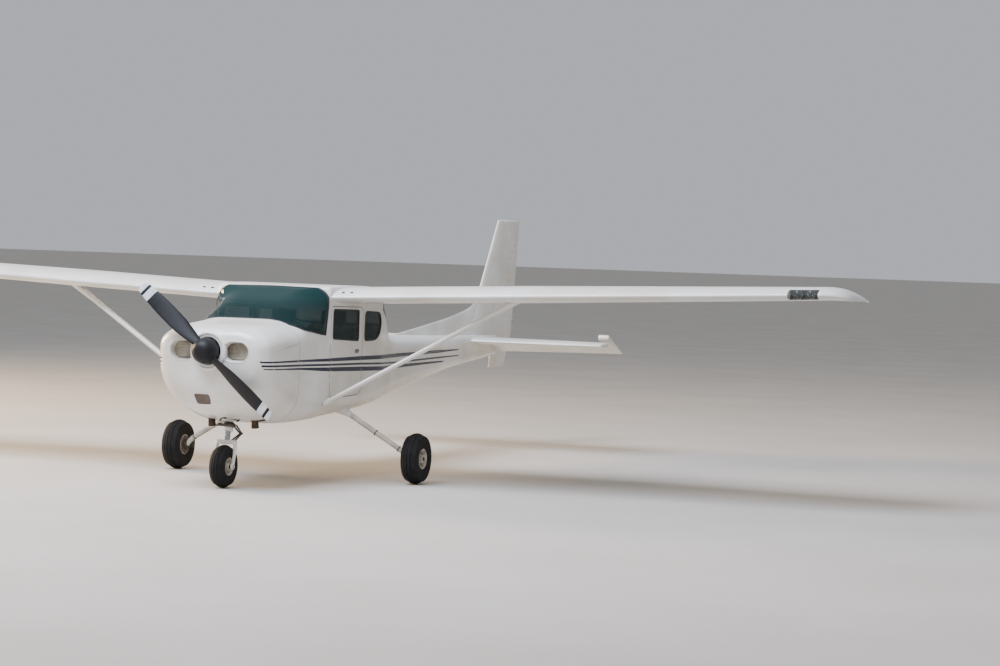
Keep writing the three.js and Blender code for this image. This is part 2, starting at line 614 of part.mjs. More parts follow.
const tailHinge = (x) => {
  const { front, chord } = tailRow(x);
  const radius = halfThickness((ELEVATOR_HINGE - front) / chord) * TAIL_THICKNESS * chord;
  return { radius, put: (back, side) => [x, ELEVATOR_HINGE + back, STAB_HEIGHT + side] };
};
const bothSides = (body) => body.add(mirrored(body));
const tailHalf = (grow) => loft([tailRing(0, grow), tailRing(STAB_HALF_SPAN, grow)]);
const hornRoom = (gap) => box(HORN_INNER - gap, 2000, HORN_FRONT - gap, 7000, 500, 1700);
const elevatorEnds = [tailHinge(ELEVATOR_INNER), tailHinge(HORN_INNER)];
const ELEVATOR_TABS = [0.15, 0.85];
const crossTube = (radius) => {
  const end = (x) => [x, ELEVATOR_HINGE, STAB_HEIGHT];
  return rod(end(-ELEVATOR_TUBE.half), end(ELEVATOR_TUBE.half), radius, radius, 20);
};
const fixedRoom = (gap) => hingeRoom(tailHinge(0), tailHinge(HORN_INNER + 20), gap).add(hornRoom(gap));
const stabWithout = (grow) => bothSides(tailHalf(grow)).subtract(bothSides(fixedRoom(MOVING_GAP - grow)));
const stabEnds = [0, STAB_HALF_SPAN - CLOSED_EDGE];
const stabHollow = loft(stabEnds.map((x) => tailHollow(x, 0.008, HOLLOW_STEPS, 0.6)));
const stabVent = box(-STAB_VENT.half, STAB_VENT.half, STAB_VENT.front, STAB_VENT.rear, 1000, STAB_HEIGHT);
const stabSkin = without(stabWithout(0), [bothSides(stabHollow.subtract(hornRoom(12))), stabVent]);
const stabTabs = hingeTabs(...elevatorEnds, ELEVATOR_TABS);
place('stabiliser', 'white_paint', joined(stabSkin, [...stabTabs, ...stabTabs.map(mirrored)]));

const elevatorRoom = surfaceRoom(tailHinge(ELEVATOR_INNER), tailHinge(HORN_INNER + MOVING_GAP));
const elevatorOutline = box(ELEVATOR_INNER, 2000, 5000, 7000, 0, 3000);
const elevatorHalf = tailHalf(0).intersect(elevatorOutline).intersect(elevatorRoom.add(hornRoom(-1)));
const elevatorStations = [ELEVATOR_INNER + CLOSED_EDGE, STAB_HALF_SPAN - CLOSED_EDGE];
const elevatorHollow = (x) => tailHollow(x, ELEVATOR_HINGE - 30, [], TRAILING_HOLLOW);
const elevatorInside = loft(elevatorStations.map(elevatorHollow));
const insideNose = hingeRoom(tailHinge(0), tailHinge(STAB_HALF_SPAN), -TAIL_SKIN);
const elevatorCuts = [elevatorInside.intersect(insideNose), ...hingeSlots(...elevatorEnds, ELEVATOR_TABS)];
const elevator = bothSides(without(elevatorHalf, elevatorCuts)).add(crossTube(ELEVATOR_TUBE.radius));
const elevatorPivot = new THREE.Group();
elevatorPivot.position.set(0, ELEVATOR_HINGE, STAB_HEIGHT);
elevatorPivot.rotation.x = THREE.MathUtils.degToRad(-ELEVATOR_DROOP);
airframe.add(elevatorPivot);
place('elevator', 'white_paint', moved(elevator, 0, -ELEVATOR_HINGE, -STAB_HEIGHT), elevatorPivot);

const tailOuter = bodyLoft(CABIN_REAR + SEAM, TAIL_END);
const tailInner = bodyLoft(CABIN_REAR - 50, TAIL_END - 6, -TAIL_SKIN);
const tailCuts = [tailInner, stabWithout(SEAM), crossTube(ELEVATOR_TUBE.hole)];
place('tail_cone', 'white_paint', without(tailOuter, tailCuts));

// Fin with its long dorsal fillet, and the rudder on a swept hinge line
const RUDDER_KNEE_REAR = 6670;
const RUDDER_BOTTOM_REAR = 6450;
const FIN_BOTTOM = 1100;
const FIN_BEHIND_TAIL = 1185;
const FIN_LOFT_HEIGHTS = [RUDDER_BOTTOM, 1000, RUDDER_KNEE, 1700, FIN_TOP];
const RUDDER_TABS = [0.32, 0.9];
const finRow = (z) => {
  const t = Math.max(0, (z - FIN_ROOT_HEIGHT) / (FIN_TOP - FIN_ROOT_HEIGHT));
  const front = mix(FIN_ROOT_FRONT, FIN_TOP_FRONT, t);
  const share = (low, high) => (z - low) / (high - low);
  const rear = z > RUDDER_KNEE
    ? mix(RUDDER_KNEE_REAR, RUDDER_TOP_REAR, share(RUDDER_KNEE, FIN_TOP))
    : mix(RUDDER_BOTTOM_REAR, RUDDER_KNEE_REAR, share(RUDDER_BOTTOM, RUDDER_KNEE));
  return { front, chord: rear - front };
};
const finPut = (z, front) => (y, side) => [side, front + y, z];
const finRing = (z) => {
  const { front, chord } = finRow(z);
  return foilRing(chord, FIN_THICKNESS, 0, finPut(z, front));
};
const rudderHingeStation = (z) => RUDDER_HINGE_STATION + RUDDER_HINGE_SLOPE * (z - RUDDER_HINGE_HEIGHT);
const finHollow = (z, firstStation, between, lastStation) => {
  const { front, chord } = finRow(z);
  const [first, last] = [firstStation, lastStation].map((station) => (station - front) / chord);
  return hollowRing(chord, FIN_THICKNESS, 0, finPut(z, front), TAIL_SKIN, first, between, last);
};
const rudderHinge = (z) => {
  const { front, chord } = finRow(z);
  const station = rudderHingeStation(z);
  const radius = halfThickness((station - front) / chord) * FIN_THICKNESS * chord;
  return { radius, put: (back, side) => [side, station + back, z] };
};
const finFull = loft(FIN_LOFT_HEIGHTS.map(finRing));
const belowRudder = RUDDER_BOTTOM - 50;
const rudderEnds = [rudderHinge(belowRudder), rudderHinge(RUDDER_HORN_HEIGHT)];
const rudderHorn = (gap) => {
  const front = rudderHingeStation(RUDDER_HORN_HEIGHT) - RUDDER_HORN_REACH - gap;
  const bottom = RUDDER_HORN_HEIGHT - gap;
  return prism('x', [[front, bottom], [7200, bottom], [7200, 2600], [front + 40, 2600]], -200, 200);
};
const DORSAL_ROWS = [
  [3250, 1195, 1208, 8], [5000, 1150, 1398, 14], [5520, 1150, 1510, 18], [5720, 1150, 1740, 22],
];
const DORSAL_FLARE = 12;
const DORSAL_SHOULDER = 25;
const dorsalShape = (skin) => loft(DORSAL_ROWS.map(([y, low, high, half]) => {
  const foot = half + DORSAL_FLARE - skin;
  const shoulder = high - DORSAL_SHOULDER - skin;
  return [
    [-foot, y, low - skin], [foot, y, low - skin], [half - skin, y, shoulder], [0, y, high - 2 * skin],
    [skin - half, y, shoulder],
  ];
}));
const finInside = loft([1000, 2200].map((z) => {
  const { front, chord } = finRow(z);
  return finHollow(z, front + 0.01 * chord, HOLLOW_STEPS, rudderHingeStation(z) - 0.06 * chord);
}));
const rudderGap = hingeRoom(...rudderEnds, MOVING_GAP).add(rudderHorn(MOVING_GAP));
const finRoom = box(-FAR, FAR, 3000, 7000, FIN_BOTTOM, 3000);
const behindTail = box(-FAR, FAR, TAIL_END - 30, 7000, 0, FIN_BEHIND_TAIL);
const grownCone = bodyLoft(CABIN_REAR, TAIL_END, SEAM);
const finCuts = [grownCone, rudderGap, finInside, dorsalShape(TAIL_SKIN), behindTail];
const finSkin = without(finFull.intersect(finRoom).add(dorsalShape(0)), finCuts);
place('fin', 'white_paint', joined(finSkin, hingeTabs(...rudderEnds, RUDDER_TABS).slice(1)));

const rudderSpan = [rudderHinge(belowRudder), rudderHinge(RUDDER_HORN_HEIGHT + 20)];
const rudderRoom = surfaceRoom(...rudderSpan).add(rudderHorn(0));
const rudderInside = loft([RUDDER_BOTTOM + CLOSED_EDGE, RUDDER_KNEE, FIN_TOP - CLOSED_EDGE].map((z) => {
  const { front, chord } = finRow(z);
  return finHollow(z, rudderHingeStation(z) - 30, [], front + TRAILING_HOLLOW * chord);
}));
const rudderNose = hingeRoom(rudderHinge(belowRudder), rudderHinge(FIN_TOP), -TAIL_SKIN);
const rudderCuts = [rudderInside.intersect(rudderNose), ...hingeSlots(...rudderEnds, RUDDER_TABS)];
place('rudder', 'white_paint', without(finFull.intersect(rudderRoom), rudderCuts));

// Wings: hollow skins open at the root, with flap and aileron on round noses
const WING_HOLLOW_STEPS = [0.02, 0.08, 0.2, 0.4, 0.65];
const WING_TABS = [0.12, 0.5, 0.88];
const LAMP = { inner: 4490, outer: 4740, depth: 105 };
const SURFACES = {
  flap: { inner: FLAP_INNER, outer: FLAP_OUTER, hinge: FLAP_HINGE },
  aileron: { inner: AILERON_INNER, outer: AILERON_OUTER, hinge: AILERON_HINGE },
};
const COVE_GAP = 12;
const wingFull = loft([WING_ROOT + SEAM, WING_BREAK, WING_END].map((x) => wingRing(x)));
const wingStations = [WING_ROOT - 60, WING_BREAK, WING_END - 30];
let wing = wingFull.subtract(loft(wingStations.map((x) => wingHollow(x, 0.005, WING_HOLLOW_STEPS, 0.69))));
for (const [name, { inner, outer, hinge }] of Object.entries(SURFACES)) {
  const ends = [wingHinge(inner, hinge), wingHinge(outer, hinge)];
  const gapEnds = [wingHinge(inner - MOVING_GAP, hinge), wingHinge(outer + MOVING_GAP, hinge)];
  wing = joined(wing.subtract(hingeRoom(...gapEnds, COVE_GAP)), hingeTabs(...ends, WING_TABS));
  const stations = [inner + 8, WING_BREAK, outer - 8].filter((x) => x > inner && x < outer);
  const inside = loft(stations.map((x) => wingHollow(x, hinge - 60 / wingAt(x).chord, [], TRAILING_HOLLOW)));
  const cuts = [inside.intersect(hingeRoom(...ends, -WING_SKIN)), ...hingeSlots(...ends, WING_TABS)];
  const surface = without(wingFull.intersect(surfaceRoom(...ends)), cuts);
  for (const [side, sign] of sides) place(`${side}_${name}`, 'white_paint', onSide(surface, sign));
}
const lampRoom = (gap) => {
  const rear = wingAt(LAMP.inner).front + LAMP.depth - gap;
  return box(LAMP.inner + gap, LAMP.outer - gap, 500, rear, 1600, 2000);
};
place('left_wing', 'white_paint', wing.subtract(lampRoom(0)));
place('right_wing', 'white_paint', mirrored(wing));
place('landing_light', 'lamp_glass', wingFull.intersect(lampRoom(SEAM)));

// Drooped wing tips: [X, front, chord, height of the chord line, thickness]
const TIP_ROWS = [
  [WING_END + SEAM, WING_TIP_FRONT, TIP_CHORD, 0, 0.1],
  [4850, 760, 1085, -8, 0.092],
  [4930, 830, 960, -28, 0.07],
  [HALF_SPAN, 960, 640, -52, 0.05],
];
const TIP_HOLLOW_STEPS = [0.08, 0.2, 0.4, 0.65];
const tipPut = (x, front, drop) => (y, z) => {
  return [x, front + y, WING_HEIGHT + DIHEDRAL * (x - WING_ROOT) + drop + z - INCIDENCE * y];
};
const tipOuter = loft(TIP_ROWS.map(([x, front, chord, drop, thickness]) => {
  return foilRing(chord, thickness, WING_CAMBER, tipPut(x, front, drop));
}));
const tipHollow = loft(TIP_ROWS.slice(0, 3).map(([x, front, chord, drop, thickness], i) => {
  const put = tipPut(i === 0 ? x - 30 : x, front, drop);
  return hollowRing(chord, thickness, WING_CAMBER, put, WING_SKIN, 0.01, TIP_HOLLOW_STEPS, TRAILING_HOLLOW);
}));
for (const [side, sign] of sides) {
  place(`${side}_wing_tip`, 'white_paint', onSide(tipOuter.subtract(tipHollow), sign));
}

// Wing struts: streamlined bars from the bottom of the door post to the wing
const STRUT = { low: [476, 535, 665], high: [1953, 864, 1532], depth: 52, half: 24, steps: 16 };
const STRUT_REACH = [-0.04, 1.3];
const strutRing = (t) => {
  const [x, y, z] = STRUT.low.map((v, k) => mix(v, STRUT.high[k], t));
  const ring = [];
  for (let i = 0; i < STRUT.steps; i += 1) {
    const angle = (2 * Math.PI * i) / STRUT.steps;
    ring.push([x, y + STRUT.depth * Math.cos(angle), z + STRUT.half * Math.sin(angle)]);
  }
  return ring;
};
const grownWing = loft([400, WING_BREAK, WING_END].map((x) => wingRing(x, SEAM)));
const aboveWing = box(-3000, 3000, 0, 4000, 1700, 3000);
const insideBody = box(-500, 300, 0, 4000, 0, 3000);
const strutCuts = [grownWing, aboveWing, bodyLoft(CABIN_FRONT, CABIN_REAR, SEAM), insideBody];
const wingStrut = without(loft(STRUT_REACH.map(strutRing)), strutCuts);
for (const [side, sign] of sides) place(`${side}_wing_strut`, 'white_paint', onSide(wingStrut, sign));

// Wheels: a rim that turns on its axle, and a tyre on the rim
const AXLE_RADIUS = 16;
const BORE_RADIUS = 16.8;
const HUB_RADIUS = 38;
const RIM_LIP = 6;
const RIM_DISH = 26;
const TYRE_SEGMENTS = 24;
const WHEELS = {
  main: { radius: MAIN_TYRE_RADIUS, half: 78, bead: 80, rimHalf: 66 },
  nose: { radius: NOSE_TYRE_RADIUS, half: 64, bead: 66, rimHalf: 56 },
};
const axleHeight = (wheel) => wheel.radius * Math.cos(Math.PI / TYRE_SEGMENTS);
// Half of a section from the middle plane outwards, mirrored and closed into a ring
function wheelRing(halfSection) {
  const other = halfSection.map(([r, x]) => [r, -x]).reverse();
  const outline = [...other, ...halfSection];
  return turned([...outline, outline[0]], 'x', TYRE_SEGMENTS);
}
const tyre = ({ radius, half, bead, rimHalf }) => wheelRing([
  [radius, half * 0.4], [radius * 0.93, half * 0.82], [mix(bead, radius, 0.5), half], [bead, rimHalf - 8],
]);
const rim = ({ bead, rimHalf }) => {
  const outer = bead - SEAM;
  return wheelRing([
    [outer, rimHalf - 4], [outer - RIM_LIP, rimHalf - 4], [outer - 2 * RIM_LIP, rimHalf - RIM_DISH],
    [HUB_RADIUS, rimHalf], [BORE_RADIUS, rimHalf],
  ]);
};
const wheelPlaces = [
  ['left_wheel_rim', 'left_main_tyre', WHEELS.main, HALF_TRACK, MAIN_AXLE_STATION],
  ['right_wheel_rim', 'right_main_tyre', WHEELS.main, -HALF_TRACK, MAIN_AXLE_STATION],
  ['nose_wheel_rim', 'nose_tyre', WHEELS.nose, 0, NOSE_AXLE_STATION],
];
for (const [rimName, tyreName, wheel, x, y] of wheelPlaces) {
  place(rimName, 'wheel_grey', moved(rim(wheel), x, y, axleHeight(wheel)));
  place(tyreName, 'tyre_rubber', moved(tyre(wheel), x, y, axleHeight(wheel)));
}

// Main gear: a sprung tube from the belly to a short axle with a brake flange
const LEG_RADIUS = 21;
const LEG_ROOT = [330, 1090, 690];
const BRAKE = { radius: 50, gap: 3, thickness: 13 };
const mainHeight = axleHeight(WHEELS.main);
const legKnee = [HALF_TRACK - 150, MAIN_AXLE_STATION - 4, mainHeight + 70];
const legEnd = [HALF_TRACK - 88, MAIN_AXLE_STATION, mainHeight];
const rimFace = HALF_TRACK - WHEELS.main.rimHalf;
const onAxle = (x) => [x, MAIN_AXLE_STATION, mainHeight];
const brakeEnds = [onAxle(rimFace - BRAKE.gap - BRAKE.thickness), onAxle(rimFace - BRAKE.gap)];
const axleEnd = onAxle(HALF_TRACK + WHEELS.main.rimHalf + 8);
const kneeBall = moved(solid(new THREE.SphereGeometry(LEG_RADIUS, 12, 6)), ...legKnee);
const leg = joined(rod(LEG_ROOT, legKnee, LEG_RADIUS + 4, LEG_RADIUS, 12), [
  kneeBall,
  rod(legKnee, legEnd, LEG_RADIUS, LEG_RADIUS, 12),
  rod(...brakeEnds, BRAKE.radius),
  rod(brakeEnds[0], axleEnd, AXLE_RADIUS, AXLE_RADIUS, 12),
]).subtract(bodyLoft(CABIN_FRONT, CABIN_REAR, SEAM));
for (const [side, sign] of sides) place(`${side}_gear_leg`, 'gear_steel', onSide(leg, sign));

// Nose gear: the upper tube is fixed to the firewall, the fork steers about the raked strut
const NOSE_RAKE = 0.26;
const COLLAR_HEIGHT = 470;
const TUBE = { top: 745, radius: 34, innerRadius: 24, innerLength: 80 };
const MOUNT_ARM = { half: 60, bottom: 650, top: 730 };
const CROWN = { below: 95, half: 92, depth: 24, under: 14, over: 22 };
const FORK_ARM = { x: 84, top: 13, bottom: 12, axleHalf: 96 };
const strutLine = (z) => [0, NOSE_AXLE_STATION - NOSE_TRAIL + NOSE_RAKE * z, z];
const upperTube = rod(strutLine(COLLAR_HEIGHT), strutLine(TUBE.top), TUBE.radius, TUBE.radius, 20);
const armFront = strutLine(700)[1];
const mountArm = box(
  -MOUNT_ARM.half, MOUNT_ARM.half, armFront, CABIN_FRONT - SEAM, MOUNT_ARM.bottom, MOUNT_ARM.top,
);
place('nose_strut', 'gear_steel', upperTube.add(mountArm));
const steerAxis = new THREE.Vector3(0, NOSE_RAKE, 1).normalize();
const below = (length) => {
  return new THREE.Vector3(...strutLine(COLLAR_HEIGHT)).addScaledVector(steerAxis, -length).toArray();
};
const [, crownY, crownZ] = below(CROWN.below);
const [crownFront, crownRear] = [crownY - CROWN.depth, crownY + CROWN.depth];
const crown = box(
  -CROWN.half, CROWN.half, crownFront, crownRear, crownZ - CROWN.under, crownZ + CROWN.over,
);
const noseAxle = (x) => [x, NOSE_AXLE_STATION, axleHeight(WHEELS.nose)];
const forkArms = [FORK_ARM.x, -FORK_ARM.x].map((x) => {
  return rod([x, crownY, crownZ + 4], noseAxle(x), FORK_ARM.top, FORK_ARM.bottom, 12);
});
const fork = joined(rod(below(SEAM), below(TUBE.innerLength), TUBE.innerRadius, TUBE.innerRadius, 20), [
  crown,
  ...forkArms,
  rod(noseAxle(-FORK_ARM.axleHalf), noseAxle(FORK_ARM.axleHalf), AXLE_RADIUS, AXLE_RADIUS, 12),
]);
place('nose_fork', 'gear_steel', fork);

// Propeller with two twisted blades: [radius, chord, thickness, pitch], and the spinner over its hub
const BLADE_ROWS = [
  [40, 84, 60, 62], [110, 92, 44, 52], [200, 118, 30, 42], [340, 142, 22, 33],
  [500, 140, 17, 26], [660, 124, 13, 21], [760, 100, 10, 18], [PROP_RADIUS, 72, 7, 17],
];
const BLADE_POINTS = 10;
const BLADE_CLEARANCE = 3;
const HUB = { front: -40, rear: 45 };
const SPINNER_ROWS = [[108, 40], [108, 0], [102, -42], [84, -84], [54, -112], [20, -SPINNER_LENGTH]];
const blades = (extra) => {
  const rings = BLADE_ROWS.map(([r, chord, thickness, pitch]) => {
    const turn = THREE.MathUtils.degToRad(pitch);
    const [cos, sin] = [Math.cos(turn), Math.sin(turn)];
    const ring = [];
    for (let i = 0; i < BLADE_POINTS; i += 1) {
      const angle = (2 * Math.PI * i) / BLADE_POINTS;
      const along = (chord / 2 + extra) * Math.cos(angle);
      const off = (thickness / 2 + extra) * Math.sin(angle);
      ring.push([along * cos - off * sin, along * sin + off * cos, r]);
    }
    return ring;
  });
  const one = loft(rings);
  return [one, rotated(one, new THREE.Matrix4().makeRotationY(Math.PI))];
};
const hubRod = (front, rear, radius) => rod([0, rear, 0], [0, front, 0], radius, radius, 24);
const dome = turned([[0, SPINNER_ROWS[0][1]], ...SPINNER_ROWS, [0, -SPINNER_LENGTH]], 'y', 24);
const propGroup = new THREE.Group();
propGroup.position.set(0, PROP_STATION, PROP_HEIGHT);
propGroup.rotation.y = THREE.MathUtils.degToRad(-PROP_REST_ANGLE);
airframe.add(propGroup);
place('propeller', 'blade_black', joined(hubRod(HUB.front, HUB.rear, SHAFT_RADIUS), blades(0)), propGroup);
const hubRoom = hubRod(HUB.front - 1, HUB.rear + 15, SHAFT_RADIUS + SEAM);
place('spinner', 'blade_black', without(dome, [hubRoom, ...blades(BLADE_CLEARANCE)]), propGroup);

airframe.position.y = -(PROP_STATION - SPINNER_LENGTH + RUDDER_TOP_REAR) / 2;

export default aircraft;
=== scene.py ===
# A two-seat, high-wing light aircraft on its tricycle gear, in metres.
# Every station is a distance aft of the firewall; the frame's Y is FIREWALL + station.
# The nose points along -Y and the left wing along +X.

import json
import math

import bmesh
import bpy
import numpy as np
from mathutils import Matrix, Vector
from mathutils.geometry import delaunay_2d_cdt


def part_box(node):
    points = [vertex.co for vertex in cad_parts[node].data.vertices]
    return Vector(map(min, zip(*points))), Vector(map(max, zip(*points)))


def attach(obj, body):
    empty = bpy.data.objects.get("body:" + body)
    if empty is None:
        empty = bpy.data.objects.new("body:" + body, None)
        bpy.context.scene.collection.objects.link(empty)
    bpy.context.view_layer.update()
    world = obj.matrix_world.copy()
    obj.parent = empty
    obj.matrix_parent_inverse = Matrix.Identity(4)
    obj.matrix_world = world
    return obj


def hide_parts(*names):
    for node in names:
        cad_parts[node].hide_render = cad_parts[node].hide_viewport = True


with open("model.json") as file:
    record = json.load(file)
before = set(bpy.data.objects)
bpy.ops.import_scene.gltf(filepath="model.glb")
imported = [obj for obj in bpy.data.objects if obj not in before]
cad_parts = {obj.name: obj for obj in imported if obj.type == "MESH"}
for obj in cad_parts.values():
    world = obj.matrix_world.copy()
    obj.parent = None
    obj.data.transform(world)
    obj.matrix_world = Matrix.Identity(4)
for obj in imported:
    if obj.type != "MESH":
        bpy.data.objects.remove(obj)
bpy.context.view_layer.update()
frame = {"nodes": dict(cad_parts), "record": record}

# Cabin shell: the load-carrying middle of the body, in riveted sheet aluminium with formed frames behind it.
# The skin is painted gloss white with three dark blue stripes, and is lined with moulded plastic trim.
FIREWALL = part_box("cabin_shell")[0][1]
MM = 0.001
PAINT_WHITE = "#e9e7e1"
PAINT_DUSTY = "#d8d2c6"
STRIPE_BLUE = "#12172a"
STRIPE_FADED = "#1c2138"
TRIM_GREY = "#8f8a80"
WALL = 0.026
PANEL_GAP = 0.004
DOOR_GAP = 0.006
GRID, COARSE_GRID, OUTLINE_STEP = 0.035, 0.05, 0.03
CORNER, WINDOW_CORNER = 0.05, 0.03
KEEL, ROOF = 0.0, 5.0
OVER_ROOF = 1.9
SECTION_COLUMNS = ("station", "half", "bottom", "top", "low_x", "low_z", "high_x", "high_z")
SECTION_ROWS = MM * np.array([
    (-604, 465, 764, 1328, 355, 345, 260, 160),
    (-545, 500, 688, 1342, 380, 370, 260, 165),
    (-410, 518, 618, 1362, 375, 370, 265, 170),
    (-160, 520, 558, 1385, 330, 330, 275, 180),
    (0, 518, 534, 1408, 300, 290, 300, 200),
    (130, 518, 531, 1478, 260, 260, 330, 240),
    (280, 520, 536, 1562, 225, 225, 330, 320),
    (430, 525, 544, 1632, 200, 200, 300, 320),
    (560, 530, 553, 1686, 185, 185, 150, 150),
    (590, 530, 555, 1691, 185, 185, 40, 35),
    (620, 530, 557, 1695, 185, 185, 30, 25),
    (1000, 530, 576, 1703, 178, 178, 30, 25),
    (1400, 530, 598, 1698, 175, 175, 30, 25),
    (1700, 524, 618, 1672, 175, 175, 40, 35),
    (1800, 515, 624, 1622, 175, 175, 110, 90),
    (2000, 478, 636, 1430, 170, 170, 170, 120),
    (2200, 438, 650, 1275, 165, 165, 170, 120),
    (3300, 310, 755, 1215, 130, 130, 140, 110),
    (4500, 188, 866, 1190, 90, 80, 90, 90),
    (5600, 105, 932, 1178, 55, 50, 55, 60),
    (6066, 66, 962, 1170, 35, 40, 35, 40),
])
NOSE_CENTRE = 1.150
NOSE_START = -0.604
NOSE_REACH = 0.20
NOSE_SHARE = np.array((0, 0.30, 0.55, 0.74, 0.87, 0.95, 1.0))
NOSE_STATION = -MM * np.array((671, 669, 665, 656, 641, 624, 604))
CABIN_FRONT = 0.0
CABIN_REAR = 2.2
CORNER_LENGTHS = np.cumsum((0, 0.35, 0.30, 0.45, 0.40, 0.30))
WINDSHIELD = MM * np.array([
    (8, 1398), (14, 1366), (116, 1326), (415, 1284), (508, 1276), (566, 1600), (548, 1900), (8, 1900),
])
REAR_WINDOW = MM * np.array([
    (1806, 1900), (1806, 1480), (2040, 1352), (2128, 1330), (2160, 1330), (2300, 1900),
])
DOOR = MM * np.array([
    (610, 770), (650, 735), (1240, 745), (1300, 790), (1310, 1240), (1310, 1490), (1270, 1515), (610, 1525),
])
DOOR_WINDOW = MM * np.array([
    (650, 1242), (1206, 1216), (1222, 1236), (1222, 1478), (1208, 1490), (674, 1502), (656, 1490),
])
REAR_SIDE = MM * np.array([
    (1345, 1212), (1600, 1216), (1700, 1252), (1756, 1335), (1752, 1410), (1700, 1468), (1355, 1480),
])
STRIPES = {
    "upper": MM * np.array([(-632, 1080), (30, 1080), (600, 1080), (1300, 1083), (2000, 1078), (2905, 1071),
                            (3910, 1066), (4684, 1056), (4600, 1044), (3910, 1037), (2905, 1038),
                            (2000, 1042), (1300, 1047), (600, 1052), (30, 1062), (-632, 1066)]),
    "middle": MM * np.array([(-610, 1051), (30, 1043), (600, 1034), (1300, 1024), (2356, 1000), (3910, 1000),
                             (4690, 996), (4600, 985), (3910, 983), (2356, 983), (1300, 1006), (600, 1015),
                             (30, 1025), (-610, 1034)]),
    "lower": MM * np.array([(-590, 1021), (30, 1014), (600, 1003), (1300, 990), (1961, 974), (3600, 961),
                            (4145, 955), (4040, 941), (3600, 940), (1961, 938), (1300, 951), (600, 967),
                            (30, 996), (-590, 1012)]),
}


def smooth(x, xs, ys):
    """A monotone cubic through (xs, ys): each knot's slope is the weighted harmonic mean of its two
    neighbouring straight slopes, or 0 where they differ in sign, so the curve never overshoots a row."""
    xs, ys, x = np.asarray(xs), np.asarray(ys), np.clip(x, xs[0], xs[-1])
    step = np.diff(xs)
    slope = np.diff(ys) / step
    first, second = 2 * step[1:] + step[:-1], step[1:] + 2 * step[:-1]
    turning = slope[:-1] * slope[1:] <= 0
    safe = np.where(turning, 1, slope[:-1]), np.where(turning, 1, slope[1:])
    inner = np.where(turning, 0, (first + second) / (first / safe[0] + second / safe[1]))
    knots = np.concatenate([slope[:1], inner, slope[-1:]])
    i = np.clip(np.searchsorted(xs, x, side="right") - 1, 0, len(step) - 1)
    t = (x - xs[i]) / step[i]
    rise = ys[i] * (1 + 2 * t) * (1 - t) ** 2 + ys[i + 1] * t * t * (3 - 2 * t)
    return rise + step[i] * (knots[i] * t * (1 - t) ** 2 - knots[i + 1] * t * t * (1 - t))


def body_section(station):
    """The seven sizes of the rounded-box section at each station, by name."""
    columns = dict(zip(SECTION_COLUMNS[1:], SECTION_ROWS.T[1:]))
    return {name: smooth(station, SECTION_ROWS[:, 0], values) for name, values in columns.items()}


def body_skin(along, around, lift=0.0):
    """Points of the body. Around runs 0 to 5 from the keel to the roof's middle: flat floor, elliptical
    low corner, flat side, elliptical high corner, flat roof. Ahead of NOSE_START, along shrinks that
    section towards the shaft while the station follows the rounded front of the bowl."""
    along, around = np.broadcast_arrays(np.asarray(along, float), np.asarray(around, float))
    s = body_section(np.maximum(along, NOSE_START))
    half, bottom, top = s["half"] + lift, s["bottom"] - lift, s["top"] + lift
    low_x, low_z = np.maximum(s["low_x"] + lift, 0.004), np.maximum(s["low_z"] + lift, 0.004)
    high_x, high_z = np.maximum(s["high_x"] + lift, 0.004), np.maximum(s["high_z"] + lift, 0.004)
    low = np.clip(around - 1, 0, 1) * math.pi / 2
    high = np.clip(around - 3, 0, 1) * math.pi / 2
    x = np.clip(around, 0, 1) * (half - low_x) + low_x * np.sin(low)
    x = np.where(around > 3, half - high_x + high_x * np.cos(high), x)
    x = np.where(around > 4, (half - high_x) * (5 - around), x)
    z = bottom + low_z * (1 - np.cos(low))
    z = z + np.clip(around - 2, 0, 1) * (top - high_z - bottom - low_z) + high_z * np.sin(high)
    share = np.clip(1 - (NOSE_START - along) / NOSE_REACH, 0, 1)
    shrink = smooth(share, np.linspace(0, 1, len(NOSE_SHARE)), NOSE_SHARE)
    station = np.where(along < NOSE_START, np.interp(shrink, NOSE_SHARE, NOSE_STATION), along)
    station = station - np.where(along < NOSE_START, lift * (1 - shrink ** 4), 0)
    z = NOSE_CENTRE + (z - NOSE_CENTRE) * shrink
    return np.stack([x * shrink, FIREWALL + station, z], -1)


def around_at(station, height):
    """The around value of the body's side at a station and a height: the section's formula turned round."""
    s = body_section(station)
    low = np.arccos(np.clip(1 - (height - s["bottom"]) / s["low_z"], -1, 1)) / (math.pi / 2)
    side = (height - s["bottom"] - s["low_z"]) / (s["top"] - s["high_z"] - s["bottom"] - s["low_z"])
    high = np.arcsin(np.clip((height - s["top"] + s["high_z"]) / s["high_z"], -1, 1)) / (math.pi / 2)
    on_side = np.where(side < 0, 1 + low, np.where(side > 1, 3 + high, 2 + side))
    return np.where(height >= s["top"], ROOF, on_side)


def dense(outline, step=0.012):
    """The outline with points added along each side, so that it can bend with the surface."""
    ends = np.roll(outline, -1, axis=0)
    parts = []
    for a, b in zip(outline, ends):
        count = max(1, math.ceil(np.linalg.norm(b - a) / step))
        parts.append(a + (b - a) * np.linspace(0, 1, count, endpoint=False)[:, None])
    return np.concatenate(parts)


def grown(outline, gap):
    """The outline moved outwards by a gap: each corner moves along the mean of its two sides' normals."""
    before, after = outline - np.roll(outline, 1, axis=0), np.roll(outline, -1, axis=0) - outline
    area = np.sum(outline[:, 0] * np.roll(outline[:, 1], -1) - outline[:, 1] * np.roll(outline[:, 0], -1))
    normals = [np.stack([d[:, 1], -d[:, 0]], -1) / np.linalg.norm(d, axis=1)[:, None]
               for d in (before, after)]
    mean = normals[0] + normals[1]
    cosine = np.maximum((mean * normals[0]).sum(1), 0.4)
    return outline + gap * math.copysign(1.0, area) * mean / cosine[:, None]


